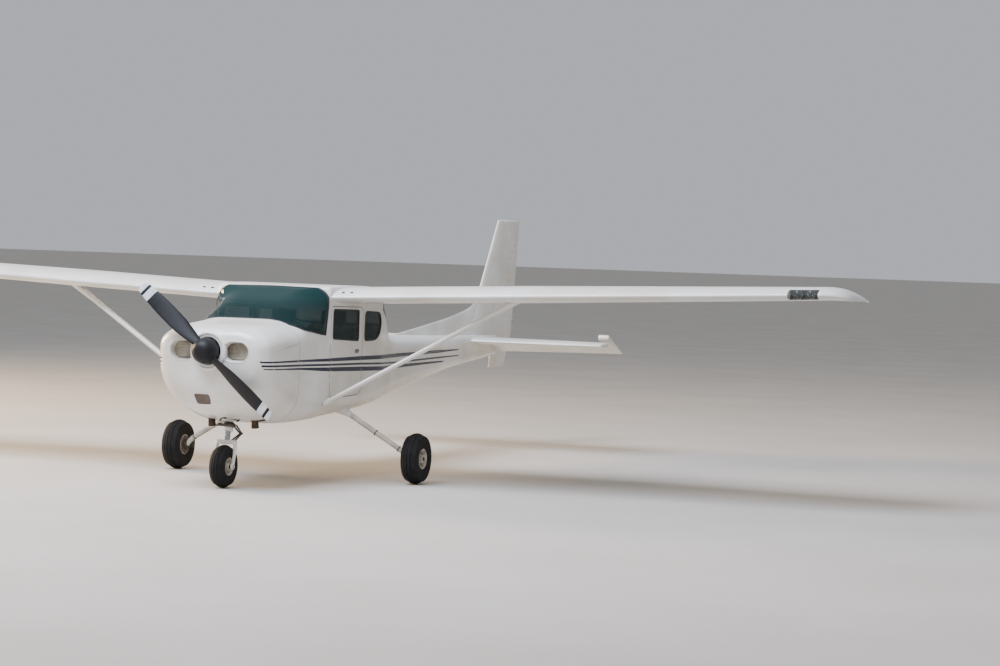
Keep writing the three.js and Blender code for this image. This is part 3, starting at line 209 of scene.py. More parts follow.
def rounded(outline, radius, steps=5):
    """The outline with each corner turned into a quadratic curve that starts a radius away from it."""
    before, after = np.roll(outline, 1, axis=0), np.roll(outline, -1, axis=0)
    parts = []
    for corner, a, b in zip(outline, before, after):
        reach = [min(radius, 0.45 * np.linalg.norm(end - corner)) / np.linalg.norm(end - corner)
                 for end in (a, b)]
        start, end = corner + (a - corner) * reach[0], corner + (b - corner) * reach[1]
        t = np.linspace(0, 1, steps)[:, None]
        parts.append((1 - t) ** 2 * start + 2 * t * (1 - t) * corner + t * t * end)
    return np.concatenate(parts)


def on_body(outline):
    """A side-view outline of stations and heights as (along, around) pairs on the body."""
    points = dense(outline)
    return np.stack([points[:, 0], around_at(points[:, 0], points[:, 1])], -1)


def inside(points, outline):
    """Which points lie in an outline: a ray from each one crosses the outline an odd number of times."""
    x, y = points[:, :1], points[:, 1:]
    (x0, y0), (x1, y1) = outline.T, np.roll(outline, -1, axis=0).T
    straddles = (y0 > y) != (y1 > y)
    level = np.where(y1 == y0, 1, y1 - y0)
    return (straddles & (x < x0 + (y - y0) * (x1 - x0) / level)).sum(1) % 2 == 1


def tone(code):
    """An sRGB hex colour as the linear colour that a shader takes."""
    value = np.array([int(code[i:i + 2], 16) for i in (1, 3, 5)]) / 255
    linear = np.where(value <= 0.04045, value / 12.92, ((value + 0.055) / 1.055) ** 2.4)
    return (*linear.tolist(), 1.0)


def add(tree, kind, sockets=(), **settings):
    """Adds one node. Sockets maps an input's name or number to a value, or to the output that feeds it."""
    made = tree.nodes.new(kind)
    for key, value in settings.items():
        setattr(made, key, value)
    for key, value in dict(sockets).items():
        if isinstance(value, bpy.types.NodeSocket):
            tree.links.new(value, made.inputs[key])
        else:
            made.inputs[key].default_value = value
    return made


def new_material(name, colour, roughness, **sockets):
    """A material with its Principled shader set to a colour, a roughness and other named sockets."""
    material = bpy.data.materials.new(name)
    material.use_nodes = True
    tree = material.node_tree
    shader = tree.nodes["Principled BSDF"]
    values = {"Base Color": tone(colour), "Roughness": roughness}
    values.update({key.replace("_", " "): value for key, value in sockets.items()})
    for key, value in values.items():
        shader.inputs[key].default_value = value
    return material, tree, shader


def finish(name, colours, roughness, scale, spread, bump, bump_scale, **sockets):
    """A material in which noise on Object coordinates mixes two colours and moves the roughness within a
    spread, and a second noise of its own scale raises a bump."""
    material, tree, shader = new_material(name, colours[0], roughness, **sockets)
    place = add(tree, "ShaderNodeTexCoord").outputs["Object"]
    noise = add(tree, "ShaderNodeTexNoise", {"Vector": place, "Scale": scale, "Detail": 4.0}).outputs["Fac"]
    ramp = add(tree, "ShaderNodeMapRange", {"Value": noise, "From Min": 0.35, "From Max": 0.7}).outputs[0]
    mixed = add(tree, "ShaderNodeMix", {0: ramp, 6: tone(colours[0]), 7: tone(colours[1])}, data_type="RGBA")
    rough = add(tree, "ShaderNodeMapRange", {"Value": noise, "To Min": spread[0], "To Max": spread[1]})
    fine = add(tree, "ShaderNodeTexNoise", {"Vector": place, "Scale": bump_scale, "Detail": 2.0})
    raised = add(tree, "ShaderNodeBump", {"Height": fine.outputs["Fac"], "Strength": 0.6, "Distance": bump})
    tree.links.new(mixed.outputs[2], shader.inputs["Base Color"])
    tree.links.new(rough.outputs[0], shader.inputs["Roughness"])
    tree.links.new(raised.outputs[0], shader.inputs["Normal"])
    return material


# Polyurethane enamel sprayed on sheet: a clear gloss over white, with faint dust that gathers in cloudy
# patches of about 0.4 m and an orange-peel ripple, drawn at 12 mm because the real 3 mm can't show.
white_paint = finish("polyurethane_enamel_white", (PAINT_WHITE, PAINT_DUSTY), 0.3, 2.4, (0.26, 0.42), 0.0003,
                     80.0, Coat_Weight=0.45, Coat_Roughness=0.08, IOR=1.5)

# The same enamel in dark blue, masked and sprayed over the white: an even gloss with a slight chalky fade.
stripe_paint = finish("polyurethane_enamel_blue", (STRIPE_BLUE, STRIPE_FADED), 0.4, 5.0, (0.26, 0.4), 0.0003,
                      80.0, Coat_Weight=0.1, Specular_IOR_Level=0.25, IOR=1.5)

# Vacuum-formed ABS lining: a warm grey plastic with a fine leather grain, drawn at 6 mm to show at all.
trim_plastic = finish("abs_trim_grey", (TRIM_GREY, "#7f7a70"), 0.6, 6.0, (0.55, 0.7), 0.0006, 160.0, IOR=1.54)


def build(name, parts, materials, body, slot, replaces=(), sharp=35.0, weld=1e-6):
    """One object from (points, faces, material number) parts: doubles are merged, empty faces dropped,
    normals turned outwards, and edges over the sharp angle kept crisp. It rides on its body."""
    points = np.concatenate([np.asarray(part[0], float).reshape(-1, 3) for part in parts])
    start, faces, numbers = 0, [], []
    for part_points, part_faces, number in parts:
        faces += [[int(i) + start for i in face] for face in part_faces]
        numbers += [number] * len(part_faces) if np.isscalar(number) else list(number)
        start += np.asarray(part_points).reshape(-1, 3).shape[0]
    mesh = bpy.data.meshes.new(name)
    mesh.from_pydata(points.tolist(), [], faces)
    mesh.polygons.foreach_set("material_index", np.array(numbers, dtype=np.int32))
    edit = bmesh.new()
    edit.from_mesh(mesh)
    bmesh.ops.remove_doubles(edit, verts=edit.verts, dist=weld)
    bmesh.ops.dissolve_degenerate(edit, edges=edit.edges, dist=weld)
    bmesh.ops.recalc_face_normals(edit, faces=edit.faces)
    edit.to_mesh(mesh)
    edit.free()
    mesh.shade_smooth()
    mesh.set_sharp_from_angle(angle=math.radians(sharp))
    made = bpy.data.objects.new(name, mesh)
    bpy.context.scene.collection.objects.link(made)
    for material in materials:
        mesh.materials.append(material)
    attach(made, body)
    if replaces:
        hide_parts(*replaces)
    return made


def mirrored(part):
    """The same part on the other side of X = 0."""
    points, faces, number = part
    return np.asarray(points) * (-1, 1, 1), [list(face)[::-1] for face in faces], number


def both(parts):
    """The parts and their mirror images."""
    return list(parts) + [mirrored(part) for part in parts]


def pair(name, parts, materials, body, slot, replaces=(), **settings):
    """The left piece and its mirror image on the right. A {} in a name stands for left or right."""
    return [build(name.format(side), made, materials, body.format(side), slot,
                  [node.format(side) for node in replaces], **settings)
            for side, made in (("left", parts), ("right", [mirrored(part) for part in parts]))]


def at(x, station, z):
    """A point of the frame from a distance, a station and a height."""
    return np.array((x, FIREWALL + station, z))


def patch(outline, holes=(), bands=(), lift=0.0, thickness=0.0, grid=GRID, back=0):
    """A sheet of the body inside an (along, around) outline and outside the holes: grid points and all
    outlines go through a constrained Delaunay triangulation in unrolled metres, and each triangle takes
    the number of the band that holds its middle. An inner face and a rim give it its thickness."""
    knots = np.arange(len(CORNER_LENGTHS), dtype=float)
    lines = [np.stack([line[:, 0], np.interp(line[:, 1], knots, CORNER_LENGTHS)], -1)
             for line in (outline, *holes, *(band for band, _ in bands))]
    low, high = lines[0].min(0), lines[0].max(0)
    steps = np.maximum(np.ceil((high - low) / grid).astype(int), 2)
    across, up = [np.linspace(low[k], high[k], steps[k] + 1)[1:-1] for k in (0, 1)]
    spread = np.stack(np.meshgrid(across, up, indexing="ij"), -1).reshape(-1, 2)
    points, edges = [spread], []
    for line in lines:
        first = sum(len(part) for part in points)
        order = np.arange(len(line))
        edges += np.stack([first + order, first + np.roll(order, -1)], -1).tolist()
        points.append(line)
    result = delaunay_2d_cdt(np.concatenate(points).tolist(), edges, [], 0, 1e-6)
    spots = np.array([list(spot) for spot in result[0]])
    faces = np.array([face for face in result[2] if len(face) == 3])
    middle = spots[faces].mean(1)
    keep = inside(middle, lines[0])
    for hole in lines[1:1 + len(holes)]:
        keep &= ~inside(middle, hole)
    faces, middle = faces[keep], middle[keep]
    number = np.zeros(len(faces), int)
    for line, (_, band_number) in zip(lines[1 + len(holes):], bands):
        number[inside(middle, line)] = band_number
    used, faces = np.unique(faces, return_inverse=True)
    faces = faces.reshape(-1, 3)
    along, around = spots[used, 0], np.interp(spots[used, 1], CORNER_LENGTHS, knots)
    outer = body_skin(along, around, lift)
    if not thickness:
        return outer, faces.tolist(), number
    inner = body_skin(along, around, lift - thickness)
    sides = np.concatenate([faces[:, [0, 1]], faces[:, [1, 2]], faces[:, [2, 0]]])
    _, index, count = np.unique(np.sort(sides, 1), axis=0, return_index=True, return_counts=True)
    rim = sides[index[count == 1]]
    rim = rim[np.abs(outer[rim][:, :, 0]).max(1) > 1e-6]
    quads = np.stack([rim[:, 1], rim[:, 0], rim[:, 0] + len(outer), rim[:, 1] + len(outer)], -1)
    all_faces = faces.tolist() + (faces[:, ::-1] + len(outer)).tolist() + quads.tolist()
    return (np.concatenate([outer, inner]), all_faces,
            np.concatenate([number, np.full(len(faces), back), np.full(len(quads), back)]))


def strip(from_along, to_along, low=KEEL, high=ROOF, step=OUTLINE_STEP):
    """The outline of the body's side between two stations and two around values: all of it, from the
    keel to the roof, if none are given."""
    return dense(np.array([(from_along, low), (to_along, low), (to_along, high), (from_along, high)]), step)


stripe_bands = [(on_body(outline), 1) for outline in STRIPES.values()]
windshield_hole = on_body(WINDSHIELD)
rear_hole = on_body(REAR_WINDOW)
side_outline = rounded(REAR_SIDE, CORNER)
side_hole = on_body(side_outline)
door_window_outline = rounded(DOOR_WINDOW, WINDOW_CORNER)
door_outline = rounded(DOOR, CORNER)
shell = patch(strip(CABIN_FRONT, CABIN_REAR),
              [windshield_hole, rear_hole, side_hole, on_body(grown(door_outline, DOOR_GAP / 2))],
              stripe_bands, thickness=WALL, back=2)
build("cabin_shell_skin", both([shell]), [white_paint, stripe_paint, trim_plastic], "airframe", "white_paint",
      ["cabin_shell"])

# Tail cone: a tapering tube of riveted sheet aluminium behind the cabin, with the stripes running out on it.
# Its rear is closed by a rounded fairing of moulded glass fibre.
TAIL_END = 6.066
TAIL_SKIN = 0.002
cone = patch(strip(CABIN_REAR + PANEL_GAP / 2, TAIL_END), [], stripe_bands, thickness=TAIL_SKIN, grid=0.045)
end_ring = body_skin(TAIL_END, np.linspace(0, 5, 41))
end_ring = np.concatenate([end_ring, (end_ring * (-1, 1, 1))[-2:0:-1]])


def domed(ring, depth, steps=6):
    """A rounded closing of a ring: each step shrinks it towards its middle by a cosine while the ring
    moves along Y by the matching sine of the depth."""
    middle = ring.mean(0)
    turn = np.linspace(0, math.pi / 2, steps)[:, None, None]
    rings = middle + (ring - middle) * np.cos(turn) + np.array((0, depth, 0)) * np.sin(turn)
    return net(rings)


def net(rings, closed=True, caps=()):
    """Quads between rings of equal length, closed around or not, with flat caps at the first (0) or the
    last (-1) ring."""
    rings = np.asarray(rings, float)
    count, size = rings.shape[:2]
    across = np.arange(size if closed else size - 1)
    start = np.arange(count - 1)[:, None] * size
    a, b = start + across, start + (across + 1) % size
    faces = np.stack([a, b, b + size, a + size], -1).reshape(-1, 4).tolist()
    for cap in caps:
        order = np.arange(size) + (0 if cap == 0 else (count - 1) * size)
        faces.append((order[::-1] if cap == 0 else order).tolist())
    return rings.reshape(-1, 3), faces, 0


build("tail_cone_skin", both([cone]) + [domed(end_ring, 0.02)], [white_paint, stripe_paint], "airframe",
      "white_paint", ["tail_cone"])

# Doors: one pressed and riveted sheet over an inner frame, hinged at the front edge on two pins, with a
# recessed pull handle. Each carries a framed acrylic window in a dark rubber seal.
RUBBER_BLACK = "#141416"
RUBBER_WIDTH, SEAL_LIFT, SEAL_DEPTH = 0.011, 0.003, 0.012
GLASS_DEEP = "#16302f"
GLASS_LIFT, GLASS_THICKNESS = -0.001, 0.005
sealing_rubber = finish("epdm_seal_black", (RUBBER_BLACK, "#24242a"), 0.6, 30.0, (0.5, 0.75), 0.0004, 220.0,
                        IOR=1.52)


def acrylic(name, colour, alpha, band=None):
    """Cast acrylic sheet with a green tint: a thin clear gloss that lets most light through. A band
    darkens it between two heights of Object coordinates, as a sun strip does."""
    material, tree, shader = new_material(name, colour, 0.04, IOR=1.49, Alpha=alpha, Specular_IOR_Level=0.3)
    if band:
        height = add(tree, "ShaderNodeSeparateXYZ", {0: add(tree, "ShaderNodeTexCoord").outputs["Object"]})
        ramp = add(tree, "ShaderNodeMapRange", {"Value": height.outputs["Z"], "From Min": band[0],
                                                "From Max": band[1], "To Min": alpha, "To Max": band[2]},
                   interpolation_type="SMOOTHSTEP")
        tree.links.new(ramp.outputs[0], shader.inputs["Alpha"])
    material.surface_render_method = "DITHERED"
    return material


# Acrylic side windows, green-tinted by the sheet itself: dark where the cabin is dark, clear against light.
side_glass = acrylic("cast_acrylic_green", GLASS_DEEP, 0.5)

door_hole = on_body(door_window_outline)
door_skin = patch(on_body(grown(door_outline, -DOOR_GAP / 2)), [door_hole], stripe_bands, thickness=WALL,
                  back=2)


def seal(outline, width=RUBBER_WIDTH):
    """A rubber channel around a window: the ring between its outline and that outline moved in."""
    return patch(on_body(grown(outline, 0.002)), [on_body(grown(outline, -width))], lift=SEAL_LIFT,
                 thickness=SEAL_DEPTH, grid=COARSE_GRID)


def pane(outline):
    """The sheet of glass that a seal holds, a little larger than the opening that shows."""
    return patch(on_body(grown(outline, -RUBBER_WIDTH * 0.6)), lift=GLASS_LIFT, thickness=GLASS_THICKNESS)


def lathe(profile, centre, axis="y", segments=32):
    """A turned piece: (radius, distance) pairs carried round an axis through the centre. Rings at radius 0
    close the shape once doubles are merged."""
    turn = np.linspace(0, 2 * math.pi, segments, endpoint=False)
    radius, along = np.asarray(profile, float).T
    wide, tall = radius[:, None] * np.cos(turn), radius[:, None] * np.sin(turn)
    length = np.broadcast_to(along[:, None], wide.shape)
    order = {"x": (length, wide, tall), "y": (wide, length, -tall), "z": (wide, tall, length)}[axis]
    return net(np.stack(order, -1) + np.asarray(centre, float))


def tube(path, radii, segments=12, flat=1.0):
    """A round or oval bar: circles set square to a path of points, one radius for each point. Flat scales
    the circle across the path's turning direction."""
    path = np.asarray(path, float)
    radii = np.broadcast_to(radii, len(path))
    ahead = np.gradient(path, axis=0)
    ahead /= np.linalg.norm(ahead, axis=1)[:, None]
    guide = np.array((0, 0, 1.0)) if abs(ahead[0][2]) < 0.9 else np.array((0, 1.0, 0))
    side = np.cross(ahead, guide)
    side /= np.linalg.norm(side, axis=1)[:, None]
    up = np.cross(side, ahead)
    turn = np.linspace(0, 2 * math.pi, segments, endpoint=False)[:, None]
    rings = [p + r * (np.cos(turn) * s + flat * np.sin(turn) * u)
             for p, r, s, u in zip(path, radii, side, up)]
    return net(rings, caps=(0, -1))


def slab(outline, axis, low, high, bevel=0.003, steps=3):
    """An outline pushed along an axis from low to high, with rounded rims: near each end the outline moves
    in by the bevel along a quarter circle."""
    turn = np.linspace(0, math.pi / 2, steps)
    reach = [(bevel * (1 - math.sin(t)), bevel * (1 - math.cos(t))) for t in turn]
    levels = [(inwards, low + depth) for inwards, depth in reach]
    levels += [(inwards, high - depth) for inwards, depth in reversed(reach)]
    rings = []
    for inwards, level in levels:
        a, b = grown(np.asarray(outline, float), -inwards).T
        fixed = np.full(len(a), level)
        rings.append(np.stack({"x": (fixed, a, b), "y": (a, fixed, b), "z": (a, b, fixed)}[axis], -1))
    return net(rings, caps=(0, -1))


def block(low, high, radius=0.006, bevel=0.003, axis="z"):
    """A box with its four long edges rounded by a radius and its rims by a bevel."""
    k = {"x": (1, 2), "y": (0, 2), "z": (0, 1)}[axis]
    (a0, b0), (a1, b1) = [[corner[i] for i in k] for corner in (low, high)]
    outline = rounded(np.array([(a0, b0), (a1, b0), (a1, b1), (a0, b1)], float), radius * 2, 4)
    fixed = {"x": 0, "y": 1, "z": 2}[axis]
    return slab(outline, axis, low[fixed], high[fixed], bevel)


def numbered(part, number):
    """The part with another material number."""
    return part[0], part[1], number


# Cast zinc with a dull chrome plating, on handles, hinges and latches: grey metal with soft highlights.
dull_chrome = finish("chromed_zinc_dull", ("#8a8885", "#6a6864"), 0.35, 40.0, (0.28, 0.5), 0.0002, 300.0,
                     Metallic=0.9)
HANDLE = (1.195, 1.129)
HINGE_STATION = 0.610
HINGE_HEIGHTS = (0.85, 1.18)
HINGE_PIN_X = 0.536
handle_x = float(body_skin(HANDLE[0], around_at(*HANDLE))[0])
handle = at(handle_x, *HANDLE)
handle_plate = block(handle - (0.004, 0.048, 0.018), handle + (0.003, 0.038, 0.018), 0.010, 0.002, "x")
grip_radii = (0.004, 0.006, *[0.007] * 5, 0.006, 0.004)
handle_grip = tube([handle + (0.006, t, 0.004 * math.sin(t * 60)) for t in np.linspace(-0.040, 0.030, 9)],
                   grip_radii, flat=0.7)
pins = [at(HINGE_PIN_X, HINGE_STATION, z) for z in HINGE_HEIGHTS]
hinges = [tube([pin, pin + (0, 0, 0.06)], 0.0055, 14) for pin in pins]
leaves = [block(pin + (-0.007, 0.002, 0.002), pin + (-0.003, 0.035, 0.028), 0.004, 0.001, "x")
          for pin in pins]
fixed_leaves = [block(pin + (-0.007, -0.035, 0.032), pin + (-0.003, -0.002, 0.058), 0.004, 0.001, "x")
                for pin in pins]
pair("{}_door_skin", [door_skin], [white_paint, stripe_paint, trim_plastic], "{}_door", "white_paint",
     ["{}_door"])
pair("{}_door_glass", [pane(door_window_outline)], [side_glass], "{}_door", "clear_glass", ["{}_door_window"])
pair("{}_door_seal", [seal(door_window_outline)], [sealing_rubber], "{}_door", "panel_black")
pair("{}_door_handle", [handle_plate, handle_grip], [dull_chrome], "{}_door", "wheel_grey")
pair("{}_door_hinge_leaves", hinges + leaves, [white_paint], "{}_door", "white_paint")
build("door_post_hinges", both(fixed_leaves), [white_paint], "airframe", "white_paint")

# Fixed windows: a one-piece windshield blown to shape from acrylic sheet, with a dark sun strip along its
# top, two rear side windows and a wrap-round rear window, each in a rubber seal.
windshield_glass = acrylic("cast_acrylic_windshield", "#14302f", 0.42, (1.46, 1.60, 0.92))


def inner_outline(outline, width):
    """A window outline moved in by a width, but not at the roof's middle, where its mirror image joins it."""
    moved = grown(outline, -width)
    moved[:, 1] = np.where(outline[:, 1] > OVER_ROOF - 0.01, OVER_ROOF, moved[:, 1])
    return moved


def middle_ring(outline, width):
    """The seal of a window that wraps over the middle: a hole is cut past the middle line, so that the two
    halves join."""
    hole = on_body(inner_outline(outline, width))
    hole[:, 1] = np.where(hole[:, 1] >= ROOF - 0.001, ROOF + 0.3, hole[:, 1])
    return patch(on_body(outline), [hole], lift=SEAL_LIFT, thickness=SEAL_DEPTH, grid=COARSE_GRID)


wrap = {"windshield": (WINDSHIELD, windshield_glass), "rear_window": (REAR_WINDOW, side_glass)}
for name, (outline, glass) in wrap.items():
    sheet = patch(on_body(inner_outline(outline, 0.005)), lift=GLASS_LIFT, thickness=GLASS_THICKNESS)
    build(f"{name}_glass", both([sheet]), [glass], "airframe", "clear_glass", [name])
    build(f"{name}_seal", both([middle_ring(outline, RUBBER_WIDTH)]), [sealing_rubber], "airframe",
          "panel_black")
pair("{}_rear_side_glass", [pane(side_outline)], [side_glass], "airframe", "clear_glass",
     ["{}_rear_side_window"])
pair("{}_rear_side_seal", [seal(side_outline, 0.014)], [sealing_rubber], "airframe", "panel_black")

# Nose bowl: a moulded glass-fibre ring that closes the cowls at the front. It has two rounded slots that
# let cooling air in to the cylinders, a raised round boss behind the propeller and a small inlet low down.
BOWL_REAR = -0.500
BOWL_SKIN = 0.004
INTAKE_INNER, INTAKE_OUTER, INTAKE_HALF = 0.128, 0.355, 0.083
INTAKE_DEPTH = 0.055
BOSS_RADIUS = 0.162
BOSS_FRONT = -0.685
PROP_STATION = -0.720
BAFFLE_BEIGE = "#b3aa9a"
INLET = ((0.002, 0.790), (0.142, 0.790), (0.134, 0.704), (0.010, 0.704))
SHAFT = np.array(frame["record"]["behaviour"]["joints"][0]["pos_m"])


def on_front(outline):
    """Where the points (x, height) of a front-view outline lie on the bowl, as (along, around): the nearest
    point of a coarse net of the surface, improved by four steps of Newton's method."""
    start, around = np.meshgrid(np.linspace(NOSE_START - 0.9 * NOSE_REACH, BOWL_REAR - 0.01, 120),
                                np.linspace(KEEL + 0.02, ROOF - 0.02, 160))
    place = np.stack([start.ravel(), around.ravel()], -1)
    seen = body_skin(place[:, 0], place[:, 1])[:, [0, 2]]
    found = place[np.argmin(((seen[None] - outline[:, None]) ** 2).sum(-1), axis=1)]
    nudge = 1e-4
    for _ in range(4):
        here = body_skin(found[:, 0], found[:, 1])[:, [0, 2]]
        by_along = (body_skin(found[:, 0] + nudge, found[:, 1])[:, [0, 2]] - here) / nudge
        by_around = (body_skin(found[:, 0], found[:, 1] + nudge)[:, [0, 2]] - here) / nudge
        slope = np.stack([by_along, by_around], -1)
        found = found + np.linalg.solve(slope, (outline - here)[..., None])[..., 0]
        found[:, 1] = np.clip(found[:, 1], KEEL, ROOF)
    return found


def stadium(inner, outer, middle, half, steps=14):
    """A slot outline with two half-round ends, between two distances at a height."""
    turn = np.linspace(-math.pi / 2, math.pi / 2, steps)
    right = np.stack([outer - half + half * np.cos(turn), middle + half * np.sin(turn)], -1)
    left = np.stack([inner + half - half * np.cos(turn), middle - half * np.sin(turn)], -1)
    return np.concatenate([right, left])


def throat(outline, depth, inwards=0.012, lip=0.006):
    """The rounded lip and the short wall that lead in from a front-view outline: rings of the outline that
    shrink while they go back from the bowl's surface."""
    place = on_front(outline)
    face = body_skin(place[:, 0], place[:, 1])
    rings = []
    for shrink, back in ((-lip, 0.001), (-lip * 0.5, -0.003), (0.0, 0.002), (inwards * 0.5, 0.02),
                         (inwards, depth)):
        moved = grown(outline, -shrink)
        rings.append(np.stack([moved[:, 0], face[:, 1] + back, moved[:, 1]], -1))
    return net(rings)


intake = dense(stadium(INTAKE_INNER, INTAKE_OUTER, NOSE_CENTRE, INTAKE_HALF), 0.01)
turn = np.linspace(-math.pi / 2, math.pi / 2, 60)
seat_radius = BOSS_RADIUS - 0.008
boss_edge = on_front(np.stack([seat_radius * np.cos(turn), SHAFT[2] + seat_radius * np.sin(turn)], -1))
boss_start = NOSE_START - 1.4 * NOSE_REACH
boss_hole = np.concatenate([[(boss_start, KEEL - 0.2), (boss_edge[0, 0], KEEL - 0.2)], boss_edge,
                            [(boss_edge[-1, 0], ROOF + 0.2), (boss_start, ROOF + 0.2)]])
bowl_start = NOSE_START - 0.925 * NOSE_REACH
bowl = patch(strip(bowl_start, BOWL_REAR, step=0.02), [on_front(intake), boss_hole], stripe_bands,
             thickness=BOWL_SKIN, grid=0.018)
boss_profile = [(BOSS_RADIUS - 0.004, 0.051), (BOSS_RADIUS, 0.031), (BOSS_RADIUS, 0.012),
                (BOSS_RADIUS - 0.004, 0.004), (BOSS_RADIUS - 0.011, 0), (BOSS_RADIUS - 0.020, 0),
                (BOSS_RADIUS - 0.026, 0.006), (0.118, 0.008), (0.112, 0.014), (0.110, 0.046), (0.12, 0.051)]
boss = lathe(boss_profile, at(0, BOSS_FRONT, SHAFT[2]), "y", 72)
build("nose_bowl_skin", both([bowl, throat(intake, INTAKE_DEPTH)]) + [boss], [white_paint, stripe_paint],
      "airframe", "white_paint", ["nose_bowl"])

# Sheet aluminium air baffles behind the two slots, dull beige with heat and dust, ribbed to stay stiff.
baffle_metal = finish("sheet_aluminium_dusty", (BAFFLE_BEIGE, "#8f8778"), 0.6, 14.0, (0.5, 0.75), 0.0008,
                      60.0, Metallic=0.25)
plate_station = FIREWALL - 0.600
plate = slab(stadium(INTAKE_INNER - 0.005, INTAKE_OUTER + 0.005, NOSE_CENTRE, INTAKE_HALF + 0.004), "y",
             plate_station, plate_station + 0.004, 0.001)
ribs = [block((INTAKE_INNER + 0.02, plate_station - 0.006, NOSE_CENTRE + step - 0.0025),
              (INTAKE_OUTER - 0.025, plate_station + 0.001, NOSE_CENTRE + step + 0.0025), 0.002, 0.001, "x")
        for step in np.linspace(-0.055, 0.055, 6)]
build("intake_baffles", both([plate] + ribs), [baffle_metal], "airframe", "engine_metal")
inlet_outline = rounded(np.array(INLET), 0.02)
inlet_place = on_front(inlet_outline)
inlet_face = body_skin(inlet_place[:, 0], inlet_place[:, 1])
inlet_middle = inlet_face.mean(0)
inlet_rings = [inlet_middle + (inlet_face - inlet_middle) * k + (0, y, 0)
               for k, y in ((1.0, 0.002), (1.0, -0.004), (0.97, -0.006), (0.90, -0.006), (0.87, -0.0035),
                            (0.02, -0.0035))]
inlet_metal = finish("sheet_aluminium_grimy", ("#6e6259", "#574d45"), 0.7, 20.0, (0.6, 0.8), 0.0006, 90.0,
                     Metallic=0.2)
build("lower_inlet_frame", [mirrored(net(inlet_rings, caps=(-1,)))], [inlet_metal], "airframe",
      "engine_metal")

# Upper and lower cowls: two formed aluminium shells around the engine, held along a sloping joint by
# quarter-turn studs. The lower one opens for the nose strut, the exhausts and the cooling air.
SPLIT_HEIGHT, SPLIT_SLOPE = 1.223, 0.137
COWL_SKIN = 0.003
STUD_SPACING = 0.085
cowl_front, cowl_rear = BOWL_REAR + PANEL_GAP / 2, CABIN_FRONT - PANEL_GAP
split = np.linspace(cowl_front, cowl_rear, 30)
split_around = around_at(split, SPLIT_HEIGHT + SPLIT_SLOPE * split)
half_gap = 0.004
upper_edge = np.stack([split, split_around + half_gap], -1)
lower_edge = np.stack([split, split_around - half_gap], -1)
upper_outline = dense(np.concatenate([upper_edge, [(cowl_rear, ROOF), (cowl_front, ROOF)]]), OUTLINE_STEP)
lower_outline = dense(np.concatenate([lower_edge, [(cowl_rear, KEEL), (cowl_front, KEEL)]]), OUTLINE_STEP)


def floor_hole(station, x, long, wide, steps=24):
    """An oval hole in the flat floor of the body: a centre, and its half length and half width."""
    turn = np.linspace(0, 2 * math.pi, steps, endpoint=False)
    s = body_section(np.array(station))
    floor_half = float(s["half"] - s["low_x"])
    return np.stack([station + long * np.cos(turn), (x + wide * np.sin(turn)) / floor_half], -1)


cooling_exit = np.array([(-0.075, -0.2), (0.02, -0.2), (0.02, 0.85), (-0.06, 0.85), (-0.075, 0.75)], float)
lower_holes = [floor_hole(-0.215, 0.0, 0.10, 0.065), floor_hole(-0.160, 0.2, 0.042, 0.042), cooling_exit]
build("upper_cowl_skin", both([patch(upper_outline, [], [], thickness=COWL_SKIN, grid=0.025)]), [white_paint],
      "airframe", "white_paint", ["upper_cowl"])
build("lower_cowl_skin",
      both([patch(lower_outline, lower_holes, stripe_bands, thickness=COWL_SKIN, grid=0.025)]),
      [white_paint, stripe_paint], "airframe", "white_paint", ["lower_cowl"])


def studs(spots, radius=0.004, height=0.0013, surface=body_skin, sides=8, sink=0.0006):
    """Low round heads at (along, around) spots of a surface: two rings and a top point each, set square to
    the surface by the cross product of its two slopes."""
    spots = np.asarray(spots, float)
    nudge = 1e-3
    here = surface(spots[:, 0], spots[:, 1])
    ahead = surface(spots[:, 0] + nudge, spots[:, 1]) - here
    aside = surface(spots[:, 0], spots[:, 1] + nudge) - here
    ahead /= np.linalg.norm(ahead, axis=1)[:, None]
    out = np.cross(aside, ahead)
    out /= np.linalg.norm(out, axis=1)[:, None]
    side = np.cross(out, ahead)
    turn = np.linspace(0, 2 * math.pi, sides, endpoint=False)
    rings = []
    for share, level in ((1.0, -sink), (0.85, height * 0.6), (0.35, height)):
        circle = np.cos(turn)[None, :, None] * ahead[:, None] + np.sin(turn)[None, :, None] * side[:, None]
        rings.append(here[:, None] + radius * share * circle + level * out[:, None])
    points = np.concatenate(rings, 1)
    ring = np.arange(sides)
    following = (ring + 1) % sides
    head = [[a, b, b + sides, a + sides] for base in (0, sides)
            for a, b in zip(ring + base, following + base)]
    head.append((ring + 2 * sides).tolist())
    head.append(ring[::-1].tolist())
    step = 3 * sides
    faces = [[int(i) + step * k for i in face] for k in range(len(spots)) for face in head]
    return points.reshape(-1, 3), faces, 0


def row(start, end, spacing=0.04):
    """Spots at an even spacing between two (station, height) points on the body's side."""
    count = max(2, round(math.dist(start, end) / spacing))
    line = np.array(start) + (np.array(end) - np.array(start)) * np.linspace(0, 1, count)[:, None]
    return np.stack([line[:, 0], around_at(line[:, 0], line[:, 1])], -1)


def hoop(station, low=KEEL, high=ROOF, spacing=0.04):
    """Spots at an even spacing round the section at one station, between two around values."""
    fine = np.linspace(low, high, 400)
    path = body_skin(station, fine)
    length = np.concatenate([[0], np.cumsum(np.linalg.norm(np.diff(path, axis=0), axis=1))])
    even = np.interp(np.arange(spacing / 2, length[-1], spacing), length, fine)
    return np.stack([np.full(len(even), station), even], -1)


above = row((cowl_front + 0.04, SPLIT_HEIGHT + SPLIT_SLOPE * cowl_front + 0.022),
            (cowl_rear - 0.03, SPLIT_HEIGHT + 0.018), STUD_SPACING)
cowl_studs = [above, hoop(cowl_rear - 0.018, 0.95, ROOF, STUD_SPACING),
              hoop(cowl_front + 0.016, KEEL, ROOF, STUD_SPACING)]
build("cowl_studs", both([studs(np.concatenate(cowl_studs), 0.0055, 0.0012)]), [white_paint], "airframe",
      "white_paint")

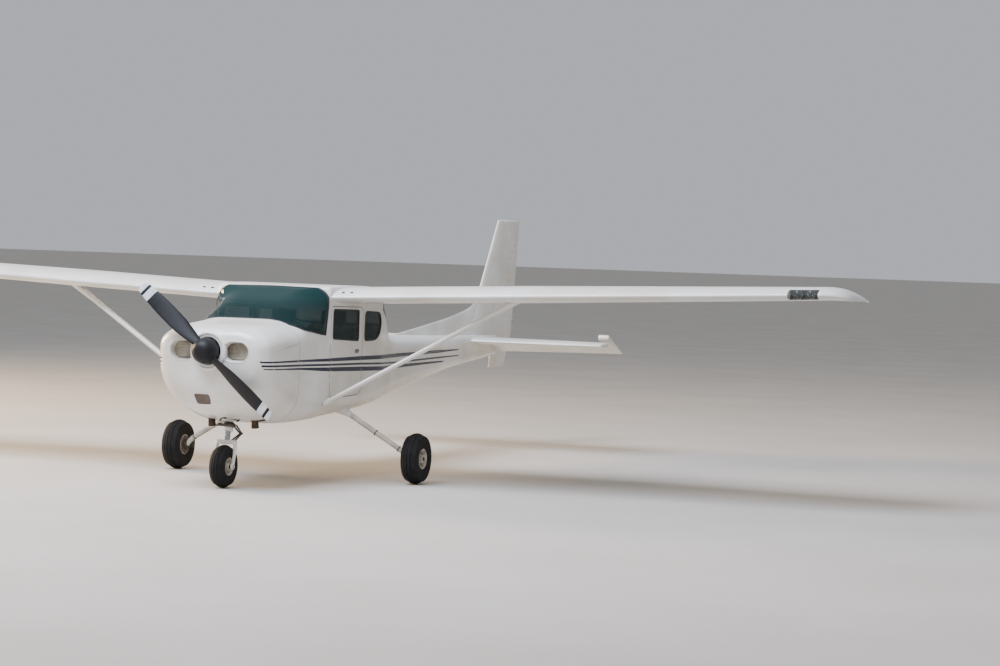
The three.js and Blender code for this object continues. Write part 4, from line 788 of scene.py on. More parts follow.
# Solid rivets, set and painted over with the skin, in hoops at the frames and rows along the stringers.
# The real heads are 4 mm across; they are drawn 7 mm so that they show.
cabin_hoops = [hoop(station, KEEL, high)
               for station, high in ((0.03, 3.6), (0.575, 2.9), (1.332, 2.9), (2.17, 5.0))]
cabin_rows = [row((0.05, 0.87), (0.56, 0.86)), row((1.36, 0.84), (2.15, 0.90)),
              row((1.40, 1.17), (2.15, 1.13))]
cone_hoops = [hoop(station) for station in (2.23, 2.86, 3.52, 4.18, 4.80, 5.36, 6.02)]
cone_rows = [np.stack([np.linspace(2.26, 6.0, 90), np.full(90, around)], -1) for around in (1.0, 2.75, 4.2)]
door_rows = [row((0.64, 0.80), (0.64, 1.19)), row((1.28, 0.83), (1.28, 1.19)),
             row((0.67, 0.79), (1.26, 0.79)), row((0.68, 1.195), (1.24, 1.17))]
build("cabin_rivets", both([studs(np.concatenate(cabin_hoops + cabin_rows), 0.0035)]), [white_paint],
      "airframe", "white_paint")
build("tail_cone_rivets", both([studs(np.concatenate(cone_hoops + cone_rows), 0.0035)]), [white_paint],
      "airframe", "white_paint")
door_studs = studs(np.concatenate(door_rows), 0.0035)
pair("{}_door_rivets", [door_studs], [white_paint], "{}_door", "white_paint")

# Exhaust stubs: welded steel tube, heat-stained brown and matt with soot, one under each side of the cowl.
SOOT_BROWN = "#3b342e"
STUB_TOP, STUB_BOTTOM = (0.2, -0.186, 0.785), (0.2, -0.150, 0.500)
stained_steel = finish("steel_tube_heat_stained", (SOOT_BROWN, "#5d4a3a"), 0.6, 18.0, (0.45, 0.75), 0.0005,
                       120.0, Metallic=0.8)
stub_top, stub_end = at(*STUB_TOP), at(*STUB_BOTTOM)
along = (stub_end - stub_top) / np.linalg.norm(stub_end - stub_top)
stub_path = [stub_top, *(stub_end - along * back for back in (0.12, 0.05, 0.002, 0, 0.004, 0.06))]
stub = tube(stub_path, (0.0255, 0.0265, 0.0300, 0.0325, 0.0320, 0.0305, 0.0240), 28)
collar = tube([stub_end - along * back for back in (0.092, 0.09, 0.078, 0.076)],
              (0.0262, 0.0310, 0.0310, 0.0275), 28)
pair("{}_exhaust_stub", [stub, collar], [stained_steel], "airframe", "exhaust_steel", ["{}_exhaust_pipe"])

# Engine: four horizontally opposed finned cylinders on a cast aluminium case. Hardly any of it shows
# through the slots, so the frame's plain block stands for it.
cast_metal = finish("sand_cast_aluminium", ("#6a6a68", "#4d4b48"), 0.6, 16.0, (0.5, 0.75), 0.001, 110.0,
                    Metallic=0.6)
engine = frame["nodes"]["engine_block"].data
engine.materials.clear()
engine.materials.append(cast_metal)

# Wings: riveted aluminium skins over ribs and two spars, straight out to mid span and tapered from there,
# with a rounded cove behind for the flap and the aileron.
WING_ROOT, WING_BREAK, WING_END = 0.530, 2.100, 4.770
ROOT_CHORD, TIP_CHORD = 1.630, 1.120
WING_FRONT, WING_TIP_FRONT = 0.585, 0.735
WING_HEIGHT, DIHEDRAL, INCIDENCE = 1.600, 0.041, 0.025
ROOT_THICKNESS, TIP_THICKNESS = 0.09, 0.10
CAMBER, CAMBER_PEAK = 0.02, 0.4
EDGE_HALF = 0.0015
MOVING_GAP = 0.006
COVE_GAP = 0.014
FLAP_SPAN, AILERON_SPAN = (0.590, 2.420), (2.460, 4.620)
FLAP_HINGE, AILERON_HINGE = 0.74, 0.76
BEAD_PITCH, BEAD_HEIGHT = 0.092, 0.0028


def half_thickness(c):
    """The four-digit aerofoil's half thickness at a share of the chord, for a section one unit thick."""
    terms = 0.2969 * np.sqrt(c) - 0.126 * c - 0.3516 * c ** 2 + 0.2843 * c ** 3 - 0.1015 * c ** 4
    return 5 * np.maximum(terms, 0)


def sheet_half(c, thickness, chord):
    """Half of a surface's thickness at a share of its chord, never less than the folded rear edge's."""
    return np.maximum(half_thickness(c) * thickness * chord, np.where(c > 0.5, EDGE_HALF, 0))


def mean_line(c):
    """The camber line: one parabola up to its peak and another behind it."""
    peak = CAMBER_PEAK
    front = CAMBER * (2 * peak * c - c * c) / peak ** 2
    rear = CAMBER * (1 - 2 * peak + 2 * peak * c - c * c) / (1 - peak) ** 2
    return np.where(c < peak, front, rear)


def wing_at(x):
    """Chord, front station, thickness share and height of the chord line at a distance from the middle."""
    t = np.clip((x - WING_BREAK) / (WING_END - WING_BREAK), 0, 1)
    chord, front, thickness = [root + (tip - root) * t for root, tip in (
        (ROOT_CHORD, TIP_CHORD), (WING_FRONT, WING_TIP_FRONT), (ROOT_THICKNESS, TIP_THICKNESS))]
    return chord, front, thickness, WING_HEIGHT + DIHEDRAL * (x - WING_ROOT)


def wing_skin(x, share, lift=0.0):
    """Points of the wing: share runs from -1 at the lower trailing edge through 0 at the front edge to 1
    at the upper one, with the chord position its square so that the nose is finely stepped."""
    x, share = np.broadcast_arrays(x, share)
    chord, front, thickness, height = wing_at(x)
    c = share ** 2
    thick = sheet_half(c, thickness, chord) + lift
    y = c * chord
    z = height + mean_line(c) * chord - INCIDENCE * y + np.sign(share) * thick
    return np.stack([x, FIREWALL + front + y, z], -1)


def wing_hinge(x, fraction):
    """The hinge line's point at a distance from the middle, and the wing's half thickness there."""
    chord, front, thickness, height = wing_at(x)
    y = fraction * chord
    z = height + mean_line(np.array(fraction)) * chord - INCIDENCE * y
    return at(x, front + y, z), float(half_thickness(fraction) * thickness * chord)


def bay_ring(x, fraction, cove, skin=wing_skin, hinge=wing_hinge, front_steps=36, rear_steps=14):
    """One closed section: over the front from lip to lip, then either the rear part of the aerofoil or, in
    a bay, the round cove about the hinge. The cove meets the skin at an angle above the hinge."""
    centre, radius = hinge(x, fraction)
    reach = radius + COVE_GAP
    angle = math.asin(radius / reach)
    whole = skin(x, 1.0)[1] - skin(x, 0.0)[1]
    lip = math.sqrt(fraction - reach * math.cos(angle) / whole)
    front = skin(x, np.linspace(lip, -lip, 2 * front_steps + 1))
    if cove:
        turn = -math.pi + angle - 2 * angle * np.linspace(0, 1, 2 * rear_steps)
        rear = np.stack([np.full(len(turn), centre[0]), centre[1] + reach * np.cos(turn),
                         centre[2] + reach * np.sin(turn)], -1)
    else:
        share = np.sqrt(np.linspace(lip ** 2, 1, rear_steps + 1)[1:])
        rear = np.concatenate([skin(x, -share), skin(x, share[::-1])])
    return np.concatenate([front, rear])


def stations(low, high, step, *breaks):
    """Even steps between two distances, with the breaks between them kept."""
    inner = [b for b in breaks if low + 1e-6 < b < high - 1e-6]
    ends = [low, *inner, high]
    parts = [np.linspace(a, b, max(2, math.ceil((b - a) / step) + 1)) for a, b in zip(ends, ends[1:])]
    return np.unique(np.concatenate(parts).round(6))


LAMP_SPAN = (4.490, 4.740)
LAMP_DEPTH = 0.105
LAMP_WALL = FIREWALL + float(wing_at(LAMP_SPAN[0])[1]) + LAMP_DEPTH
bays = [((WING_ROOT + 0.0005, FLAP_SPAN[0] - MOVING_GAP), FLAP_HINGE, False),
        ((FLAP_SPAN[0] - MOVING_GAP, FLAP_SPAN[1] + MOVING_GAP), FLAP_HINGE, True),
        ((FLAP_SPAN[1] + MOVING_GAP, AILERON_SPAN[0] - MOVING_GAP), AILERON_HINGE, False),
        ((AILERON_SPAN[0] - MOVING_GAP, AILERON_SPAN[1] + MOVING_GAP), AILERON_HINGE, True),
        ((AILERON_SPAN[1] + MOVING_GAP, WING_END), AILERON_HINGE, False)]


def recessed(ring):
    """A wing section with its nose cut back to a flat wall, for the lamp bay behind the lens."""
    return np.stack([ring[:, 0], np.maximum(ring[:, 1], LAMP_WALL), ring[:, 2]], -1)


def wing_net(lamp):
    """The whole wing from bay to bay. Both ends of the lamp bay have two sections at one place, a full and
    a cut one, which makes the bay's end walls."""
    rings = []
    for (low, high), fraction, cove in bays:
        for x in stations(low, high, 0.22, WING_BREAK, *LAMP_SPAN):
            ring = bay_ring(x, fraction, cove)
            if lamp and LAMP_SPAN[0] <= x <= LAMP_SPAN[1]:
                cut = recessed(ring)
                rings += {LAMP_SPAN[0]: [ring, cut], LAMP_SPAN[1]: [cut, ring]}.get(x, [cut])
            else:
                rings.append(ring)
    return net(rings, caps=(0, -1))


def moving_ring(x, fraction, skin, hinge, bead, nose_steps=14, rear_steps=16, bead_range=(0.16, 0.93)):
    """One closed section of a hinged surface: a half-round nose about the hinge, and the aerofoil's rear
    behind it, lifted by a bead whose height fades out towards the nose and the trailing edge."""
    centre, radius = hinge(x, fraction)
    turn = math.pi / 2 + math.pi * np.linspace(0, 1, nose_steps)
    nose = np.stack([np.full(nose_steps, centre[0]), centre[1] + radius * np.cos(turn),
                     centre[2] + radius * np.sin(turn)], -1)
    t = np.linspace(0, 1, rear_steps + 1)[1:]
    share = np.sqrt(fraction + (1 - fraction) * t)
    fade = np.clip((t - bead_range[0]) / 0.05, 0, 1) * np.clip((bead_range[1] - t) / 0.05, 0, 1)
    lower = skin(x, -share, bead * fade)
    upper = skin(x, share[::-1], bead * fade[::-1])
    return np.concatenate([nose, lower, upper])


def beaded(low, high, pitch=BEAD_PITCH, height=BEAD_HEIGHT, width=0.014):
    """Pairs of distance and bead height along a span: each bead is a ridge of five steps, with flat sheet
    between it and the next."""
    middles = np.arange(low + pitch * 0.6, high - pitch * 0.4, pitch)
    shape = np.array([(-1, 0), (-0.5, 0.55), (0, 1), (0.5, 0.55), (1, 0)]) * (width / 2, height)
    spots = (middles[:, None] + shape[:, 0]).ravel()
    lifts = np.broadcast_to(shape[:, 1], (len(middles), 5)).ravel()
    return np.concatenate([[low], spots, [high]]), np.concatenate([[0], lifts, [0]])


def hinged_surface(span, fraction):
    """A beaded flap or aileron between two distances, closed at both ends."""
    rings = [moving_ring(x, fraction, wing_skin, wing_hinge, lift) for x, lift in zip(*beaded(*span))]
    return net(rings, caps=(0, -1))


def wing_row(x0, share0, x1, share1, spacing=0.045):
    """Rivet spots along a straight line on the wing's skin."""
    a, b = wing_skin(x0, share0), wing_skin(x1, share1)
    count = max(2, round(float(np.linalg.norm(b - a)) / spacing))
    t = (np.arange(count) + 0.5) / count
    c0, c1 = math.copysign(share0 ** 2, share0), math.copysign(share1 ** 2, share1)
    c = c0 + (c1 - c0) * t
    return np.stack([x0 + (x1 - x0) * t, np.sign(c) * np.sqrt(np.abs(c))], -1)


RIB_PLACES = (0.62, 0.98, 1.34, 1.70, 2.06, 2.44, 2.86, 3.28, 3.70, 4.12, 4.46, 4.745)
SPAR_SHARES = (0.42, 0.83)
wing_rows = [wing_row(x, side * 0.16, x, side * 0.842) for x in RIB_PLACES for side in (1, -1)]
wing_rows += [wing_row(WING_ROOT + 0.03, side * share, WING_END - 0.02, side * share) for share in SPAR_SHARES
              for side in (1, -1)]
wing_heads = studs(np.concatenate(wing_rows), 0.0035, surface=wing_skin, sides=6)

# The flap's outer end is cut back, because the tilted hinge line carries it outwards as it goes down.
FLAP_SHEET = (FLAP_SPAN[0], FLAP_SPAN[1] - 0.004)

# Air vents in the wing's front edge at the root: short round tubes with a dark mesh behind.
VENT_PLACES = (0.622, 0.700)
VENT_PROFILE = ((0.001, 0.004), (0.009, 0.004), (0.009, -0.002), (0.0105, -0.004), (0.012, -0.001),
                (0.012, 0.02))
# A dark woven wire. The same material is also painted shade: it colours the wheels' dark discs that stand for
# lightening holes.
wire_mesh_and_painted_shade = finish("woven_wire_dark", ("#2a2622", "#3a342e"), 0.8, 60.0, (0.7, 0.9), 0.0006, 240.0,
                   Metallic=0.3)
vents = [lathe(VENT_PROFILE, wing_skin(x, 0.17), "y", 20) for x in VENT_PLACES]
build("left_wing_skin", [wing_net(True)], [white_paint], "airframe", "white_paint", ["left_wing"], sharp=30)
build("right_wing_skin", [mirrored(wing_net(False))], [white_paint], "airframe", "white_paint",
      ["right_wing"], sharp=30)
pair("{}_wing_rivets", [wing_heads], [white_paint], "airframe", "white_paint")
pair("{}_wing_vents", vents, [wire_mesh_and_painted_shade], "airframe", "white_paint")
pair("{}_flap_skin", [hinged_surface(FLAP_SHEET, FLAP_HINGE)], [white_paint], "{}_flap", "white_paint",
     ["{}_flap"], sharp=40)
pair("{}_aileron_skin", [hinged_surface(AILERON_SPAN, AILERON_HINGE)], [white_paint], "{}_aileron",
     "white_paint", ["{}_aileron"], sharp=40)

# Drooped wing tips: moulded glass fibre, screwed to the last rib, thinning to a rounded outer edge.
TIP_ROWS = np.array([
    (4.7705, 0.735, 1.120, 0.000, 0.100), (4.850, 0.757, 1.085, -0.006, 0.094),
    (4.910, 0.800, 1.000, -0.018, 0.080), (4.948, 0.860, 0.880, -0.032, 0.062),
    (4.967, 0.925, 0.740, -0.043, 0.042), (4.975, 0.985, 0.590, -0.050, 0.012),
])


def tip_skin(x, share):
    """Points of the drooped tip: the wing's aerofoil with its front, chord, drop and thickness smoothed
    between the rows."""
    front, chord, drop, thickness = [smooth(x, TIP_ROWS[:, 0], TIP_ROWS[:, k]) for k in range(1, 5)]
    c = share ** 2
    thick = sheet_half(c, thickness, chord)
    y = c * chord
    height = WING_HEIGHT + DIHEDRAL * (x - WING_ROOT) + drop
    z = height + mean_line(c) * chord - INCIDENCE * y + np.sign(share) * thick
    return np.stack([np.full(c.shape, x), FIREWALL + front + y, z], -1)


tip_places = TIP_ROWS[0, 0] + (TIP_ROWS[-1, 0] - TIP_ROWS[0, 0]) * np.sin(np.linspace(0, math.pi / 2, 18))
tip_shares = np.linspace(1, -1, 73)
tip = net([tip_skin(x, tip_shares) for x in tip_places], caps=(0, -1))
pair("{}_drooped_tip", [tip], [white_paint], "airframe", "white_paint", ["{}_wing_tip"])

# Landing light: two sealed lamps in the left wing's front edge, in spun aluminium rings on the bay's wall,
# behind a lens that is heated and formed to the wing's shape from clear acrylic.
LAMP_PLACES = (4.560, 4.665)
LAMP_RADIUS = 0.041
LAMP_RING = [(LAMP_RADIUS, 0.0), (LAMP_RADIUS, -0.018), (LAMP_RADIUS - 0.002, -0.022),
             (LAMP_RADIUS - 0.006, -0.022), (LAMP_RADIUS - 0.008, -0.017)]
LAMP_FACE = [LAMP_RING[-1], (LAMP_RADIUS * 0.5, -0.024), (0.0, -0.027)]
LENS_THICKNESS, LENS_REACH = 0.002, 0.04
lens_glass = acrylic("formed_acrylic_clear", "#5a5f5c", 0.14)
lamp_glass = finish("pressed_glass_dark", ("#23282a", "#3a4143"), 0.12, 60.0, (0.08, 0.2), 0.0008, 140.0,
                    IOR=1.5, Coat_Weight=0.6)
lens_reach = math.sqrt((LAMP_DEPTH - 0.001) / float(wing_at(LAMP_SPAN[0])[0]))
lens_shares = np.linspace(lens_reach, -lens_reach, 41)
lens_rings = []
for x in np.linspace(LAMP_SPAN[0] + 0.0015, LAMP_SPAN[1] - 0.0015, 7):
    outer = wing_skin(x, lens_shares)
    middle = outer.mean(0)
    inner = outer + (middle - outer) * (LENS_THICKNESS / LENS_REACH)
    lens_rings.append(np.concatenate([outer, inner[::-1]]))
build("landing_light_lens", [net(lens_rings, caps=(0, -1))], [lens_glass], "airframe", "lamp_glass",
      ["landing_light"])
tray_rings = []
for x in (LAMP_SPAN[0] + 0.003, LAMP_SPAN[1] - 0.003):
    ring = wing_skin(x, lens_shares * 0.98, -0.0022)
    tray_rings.append(np.stack([ring[:, 0], np.full(len(ring), LAMP_WALL - 0.003), ring[:, 2]], -1))
lamp_parts = [numbered(net(tray_rings, closed=False), 2)]
for x in LAMP_PLACES:
    middle_height = float(wing_skin(x, np.array((lens_reach, -lens_reach)))[:, 2].mean())
    centre = (x, LAMP_WALL, middle_height)
    lamp_parts += [numbered(lathe(LAMP_RING, centre, "y", 32), 1), lathe(LAMP_FACE, centre, "y", 32)]
build("landing_lamps", lamp_parts, [lamp_glass, dull_chrome, wire_mesh_and_painted_shade], "airframe", "lamp_glass")

# Wing struts: one extruded streamlined tube on each side, from a fitting at the foot of the door post to
# one under the wing's front spar, with a sheet cuff over each end.
STRUT_LOW, STRUT_HIGH = np.array((0.476, 0.535, 0.665)), np.array((1.953, 0.864, 1.532))
STRUT_DEPTH, STRUT_HALF = 0.052, 0.021
STRUT_STEPS = 28


def strut_ring(t, swell=1.0):
    """The strut's section at a share of its length: an oval drawn out to the rear, swollen at a cuff."""
    x, y, z = STRUT_LOW + (STRUT_HIGH - STRUT_LOW) * t
    turn = np.linspace(0, 2 * math.pi, STRUT_STEPS, endpoint=False)
    back = np.cos(turn) + 0.12 * np.cos(2 * turn)
    tall = np.sin(turn) * (1 - 0.28 * np.cos(turn))
    depth, half = STRUT_DEPTH * (1 + (swell - 1) * 0.5), STRUT_HALF * swell
    return np.stack([np.full(STRUT_STEPS, x), FIREWALL + y + depth * back, z + half * tall], -1)


low_end, high_end = 0.035, 1.13
bare = net([strut_ring(t) for t in np.linspace(low_end, high_end, 14)], caps=(0, -1))
low_cuff = net([strut_ring(t, s) for t, s in ((low_end, 1.22), (0.05, 1.2), (0.068, 1.1), (0.070, 0.99))],
               caps=(0, -1))
high_cuff = net([strut_ring(t, s) for t, s in ((0.975, 0.99), (0.978, 1.12), (1.02, 1.2), (1.07, 1.35),
                                               (high_end, 1.5))], caps=(0, -1))
pair("{}_strut_tube", [bare, low_cuff, high_cuff], [white_paint], "airframe", "white_paint",
     ["{}_wing_strut"])

# Stabiliser: a riveted sheet skin over two spars, carried through the tail cone, with a round cove behind it
# for the elevator and its outer ends cut away for the elevator's horns.
STAB_HALF, STAB_HEIGHT = 1.484, 1.125
STAB_FRONTS, STAB_REARS = (5.075, 5.235), (6.110, 6.010)
ELEVATOR_HINGE = 5.740
ELEVATOR_INNER = 0.100
ELEVATOR_DROOP = math.radians(20)
HORN_INNER, HORN_FRONT = 1.372, 5.480
TAIL_THICKNESS = 0.075
TIP_ROUND = 0.022


def tail_row(x):
    """Front station and chord of the horizontal tail at a distance from the middle."""
    t = np.asarray(x) / STAB_HALF
    front = STAB_FRONTS[0] + (STAB_FRONTS[1] - STAB_FRONTS[0]) * t
    return front, STAB_REARS[0] + (STAB_REARS[1] - STAB_REARS[0]) * t - front


def tail_skin(x, share, lift=0.0):
    """Points of the horizontal tail, laid out as the wing's are. Its thickness closes along a quarter
    ellipse over the last 22 mm of the span."""
    x, share = np.broadcast_arrays(np.asarray(x, float), np.asarray(share, float))
    front, chord = tail_row(x)
    c = share ** 2
    over = np.clip((x - STAB_HALF + TIP_ROUND) / TIP_ROUND, 0, 1)
    close = np.sqrt(1.0001 - over ** 2)
    thick = (sheet_half(c, TAIL_THICKNESS, chord) + lift) * close
    return np.stack([x, FIREWALL + front + c * chord, STAB_HEIGHT + np.sign(share) * thick], -1)


def tail_fraction(x):
    """The share of the chord at which the elevator's hinge lies."""
    front, chord = tail_row(x)
    return float((ELEVATOR_HINGE - front) / chord)


def tail_hinge(x, fraction):
    """The elevator's hinge point and the tail's half thickness there."""
    chord = tail_row(x)[1]
    return at(x, ELEVATOR_HINGE, STAB_HEIGHT), float(half_thickness(fraction) * TAIL_THICKNESS * chord)


def front_ring(x, station, skin, row, steps=30):
    """A section of a surface's front part, cut square at a station."""
    front, chord = row(x)
    reach = math.sqrt((station - front) / chord)
    return skin(x, np.linspace(reach, -reach, 2 * steps + 1))


def horn_steps(inner, tip, round_end, step):
    """Where a horn's sections stand: one at the far side of its gap, even steps, and a finely stepped end."""
    closing = tip - round_end + round_end * np.sin(np.linspace(0.3, math.pi / 2, 6))
    return np.concatenate([[inner - MOVING_GAP], stations(inner, tip - round_end, step), closing])


def rear_ring(x, station, skin, row, round_nose=0.030, steps=16):
    """A section of a surface's rear part, from a station to the trailing edge, with a half-round front."""
    front, chord = row(x)
    reach = math.sqrt((station + round_nose - front) / chord)
    shares = np.sqrt(np.linspace(reach ** 2, 1, steps + 1))
    turn = np.linspace(math.pi / 2, 3 * math.pi / 2, 11)
    half = skin(x, reach) - skin(x, -reach)
    middle = (skin(x, reach) + skin(x, -reach)) / 2
    nose = middle + np.sin(turn)[:, None] * half / 2 + np.cos(turn)[:, None] * np.array((0, round_nose, 0))
    return np.concatenate([nose, skin(x, -shares[1:]), skin(x, shares[:0:-1])])


fixed_rings = [bay_ring(x, tail_fraction(x), True, tail_skin, tail_hinge, 24, 10)
               for x in stations(0.0, HORN_INNER - MOVING_GAP, 0.25)]
horn_places = horn_steps(HORN_INNER, STAB_HALF, TIP_ROUND, 0.1)
cut_rings = [front_ring(x, HORN_FRONT - MOVING_GAP, tail_skin, tail_row) for x in horn_places]
tail_rows = [[(x, side * share) for x in np.arange(0.12, 1.33, 0.04)] for side in (1, -1)
             for share in (0.32, 0.66)]
tail_rows += [[(x, side * share) for share in np.linspace(0.14, 0.70, 14)] for side in (1, -1)
              for x in (0.16, 0.46, 0.78, 1.10, 1.335)]
build("stabiliser_skin", both([net(fixed_rings, caps=(-1,)), net(cut_rings, caps=(0, -1))]), [white_paint],
      "airframe", "white_paint", ["stabiliser"], sharp=30)
build("stabiliser_rivets", both([studs(np.concatenate(tail_rows), 0.0032, surface=tail_skin, sides=6)]),
      [white_paint], "airframe", "white_paint")

# Elevator: two beaded halves on one cross tube, each with a horn that carries its balance weight. Parked, it
# hangs down by 20 degrees.
ELEVATOR_PITCH = 0.085
CROSS_TUBE_HALF = 0.155


def drooped(part):
    """The part turned down about the elevator's hinge line."""
    points, faces, number = part
    centre = at(0, ELEVATOR_HINGE, STAB_HEIGHT)
    cos, sin = math.cos(ELEVATOR_DROOP), math.sin(ELEVATOR_DROOP)
    turn = np.array([(1, 0, 0), (0, cos, sin), (0, -sin, cos)])
    return (np.asarray(points) - centre) @ turn.T + centre, faces, number


places, lifts = beaded(ELEVATOR_INNER, HORN_INNER, ELEVATOR_PITCH, 0.0014, 0.018)
elevator_rings = [moving_ring(x, tail_fraction(x), tail_skin, tail_hinge, lift)
                  for x, lift in zip(places, lifts)]
horn_rings = [rear_ring(x, HORN_FRONT, tail_skin, tail_row) for x in horn_places[1:]]
cross_tube = tube([at(x, ELEVATOR_HINGE, STAB_HEIGHT) for x in (-CROSS_TUBE_HALF, CROSS_TUBE_HALF)], 0.0135,
                  24)
elevator_parts = both([drooped(net(elevator_rings, caps=(0, -1))), drooped(net(horn_rings, caps=(0, -1)))])
build("elevator_skin", elevator_parts + [cross_tube], [white_paint], "elevator", "white_paint", ["elevator"],
      sharp=40)

# Fin: a riveted sheet skin with a swept front edge, blended into the body by a long thin dorsal fillet.
FIN_TOP, FIN_BASE, FIN_ROUND = 2.390, 1.165, 0.02
FIN_THICKNESS = 0.075
FIN_FRONTS = ((1.300, 5.420), (FIN_TOP, 6.170))
RUDDER_BOTTOM = 0.825
FIN_REARS = ((RUDDER_BOTTOM, 6.450), (1.180, 6.670), (FIN_TOP, 6.830))
RUDDER_HINGE, RUDDER_LEAN = 6.116, 0.28
RUDDER_HORN_HEIGHT, RUDDER_HORN_REACH = 2.270, 0.130
DORSAL_ROWS = MM * np.array([
    (3250, 1195, 1209, 8), (4100, 1172, 1292, 11), (5000, 1150, 1398, 14), (5520, 1150, 1512, 18),
    (5640, 1150, 1620, 21), (5745, 1150, 1765, 23),
])


def fin_row(z):
    """Front station and chord of the vertical tail at a height."""
    front, rear = [np.interp(z, *np.transpose(line)) for line in (FIN_FRONTS, FIN_REARS)]
    return front, rear - front


def fin_skin(z, share, lift=0.0):
    """Points of the vertical tail as (height, Y, side), the wing's order of axes. Its thickness closes over
    the last 20 mm below the top."""
    z, share = np.broadcast_arrays(np.asarray(z, float), np.asarray(share, float))
    front, chord = fin_row(z)
    c = share ** 2
    close = np.sqrt(1.0001 - np.clip((z - FIN_TOP + FIN_ROUND) / FIN_ROUND, 0, 1) ** 2)
    thick = (sheet_half(c, FIN_THICKNESS, chord) + lift) * close
    return np.stack([z, FIREWALL + front + c * chord, np.sign(share) * thick], -1)


def fin_side(z, share):
    """The vertical tail's points in the frame's own order of axes."""
    return fin_skin(z, share)[..., ::-1]


def rudder_station(z):
    """The rudder's hinge line: it leans back with the height above one metre."""
    return RUDDER_HINGE + RUDDER_LEAN * (z - 1.0)


def fin_fraction(z):
    """The share of the chord at which the rudder's hinge lies."""
    front, chord = fin_row(z)
    return float((rudder_station(z) - front) / chord)


def fin_hinge(z, fraction):
    """The rudder's hinge point and the fin's half thickness there."""
    return at(z, rudder_station(z), 0.0), float(half_thickness(fraction) * FIN_THICKNESS * fin_row(z)[1])


def stood(part):
    """A part laid out as (height, Y, side), in the frame's own order of axes."""
    return np.asarray(part[0])[:, ::-1], part[1], part[2]


def dorsal_ring(station, steps=18):
    """One section of the fillet: a thin wall that flares at its foot and is rounded at its top."""
    low, high, half = [smooth(station, DORSAL_ROWS[:, 0], DORSAL_ROWS[:, k]) for k in (1, 2, 3)]
    t = np.linspace(0, 1, steps)
    x = half * np.sqrt(1 - t ** 6) + 0.028 * (1 - t) ** 5
    z = low + (high - low) * t
    side = np.stack([x, np.full(steps, FIREWALL + station), z], -1)
    return np.concatenate([side, (side * (-1, 1, 1))[-2::-1]])


fin_rings = [bay_ring(z, fin_fraction(z), True, fin_skin, fin_hinge, 24, 10)
             for z in stations(FIN_BASE, RUDDER_HORN_HEIGHT - MOVING_GAP, 0.15, 1.18, 1.30)]
horn_station = rudder_station(RUDDER_HORN_HEIGHT) - RUDDER_HORN_REACH
horn_levels = horn_steps(RUDDER_HORN_HEIGHT, FIN_TOP, FIN_ROUND, 0.05)
fin_tip = [front_ring(z, horn_station - MOVING_GAP, fin_skin, fin_row) for z in horn_levels]
dorsal = net([dorsal_ring(station) for station in np.linspace(DORSAL_ROWS[0, 0], DORSAL_ROWS[-1, 0], 60)],
             closed=False)
fin_rows = [[(z, side * math.sqrt(share)) for z in np.arange(1.24, 2.24, 0.04)] for side in (1, -1)
            for share in (0.16, 0.50)]
fin_rows += [[(z, side * math.sqrt(share)) for share in np.linspace(0.03, 0.52, 12)] for side in (1, -1)
             for z in (1.78, 2.02, 2.25)]
build("fin_skin", [stood(net(fin_rings, caps=(0, -1))), stood(net(fin_tip, caps=(0, -1))), dorsal],
      [white_paint], "airframe", "white_paint", ["fin"], sharp=30)
build("fin_rivets", [studs(np.concatenate(fin_rows), 0.0032, surface=fin_side, sides=6)], [white_paint],
      "airframe", "white_paint")

# Rudder: a beaded sheet surface on a leaning hinge line, with a balance horn at the top and a small clear
# lamp on a moulded foot at the rear edge.
places, lifts = beaded(1.20, RUDDER_HORN_HEIGHT, 0.075, 0.0011, 0.020)
lower_places = stations(RUDDER_BOTTOM, 1.19, 0.09, 1.18)
rudder_places = np.concatenate([lower_places, places])
rudder_lifts = np.concatenate([np.zeros(len(lower_places)), lifts])
rudder_rings = [moving_ring(z, fin_fraction(z), fin_skin, fin_hinge, lift)
                for z, lift in zip(rudder_places, rudder_lifts)]
rudder_horn = [rear_ring(z, horn_station, fin_skin, fin_row) for z in horn_levels[1:]]
build("rudder_skin", [stood(net(rudder_rings, caps=(0, -1))), stood(net(rudder_horn, caps=(0, -1)))],
      [white_paint], "rudder", "white_paint", ["rudder"], sharp=40)
TAIL_LAMP_HEIGHT = 1.30
tail_lamp = at(0.0, float(sum(fin_row(TAIL_LAMP_HEIGHT))) - 0.004, TAIL_LAMP_HEIGHT)
lamp_profile = [(0.0, -0.012), (0.014, -0.010), (0.016, 0.0), (0.0155, 0.006), (0.012, 0.014), (0.006, 0.019),
                (0.0, 0.0205)]
build("tail_lamp", [lathe(lamp_profile, tail_lamp, "y", 24)], [lens_glass], "rudder", "lamp_glass")

# Main gear: a sprung steel tube on each side, bent down to a short axle, with a moulded cuff where it leaves
# the belly and a thin brake line clipped along its rear.
AXLE_HEIGHT = 0.222
NOSE_AXLE_HEIGHT = 0.1804
HALF_TRACK, MAIN_STATION, NOSE_STATION_AXLE = 1.150, 1.120, -0.320
LEG_CREAM = "#cfc8ba"
gear_paint = finish("polyurethane_enamel_cream", (LEG_CREAM, "#a89f90"), 0.4, 9.0, (0.35, 0.6), 0.0004, 90.0,
                    Coat_Weight=0.25, IOR=1.5)

# Brown-black brake hose and brackets: nitrile rubber and oily steel, with a soft dull sheen.
oily_steel = finish("steel_oiled_dark", ("#3a3632", "#57504a"), 0.5, 30.0, (0.4, 0.65), 0.0004, 160.0,
                    Metallic=0.55)


def curve(points, steps=24):
    """A smooth path through points: a Catmull-Rom cubic between each pair."""
    p = np.asarray(points, float)
    p = np.concatenate([[2 * p[0] - p[1]], p, [2 * p[-1] - p[-2]]])
    t = np.linspace(0, 1, steps, endpoint=False)[:, None]
    runs = []
    for a, b, c, d in zip(p, p[1:], p[2:], p[3:]):
        runs.append(0.5 * (2 * b + (c - a) * t + (2 * a - 5 * b + 4 * c - d) * t ** 2
                           + (3 * b - a - 3 * c + d) * t ** 3))
    return np.concatenate([*runs, [p[-2]]])


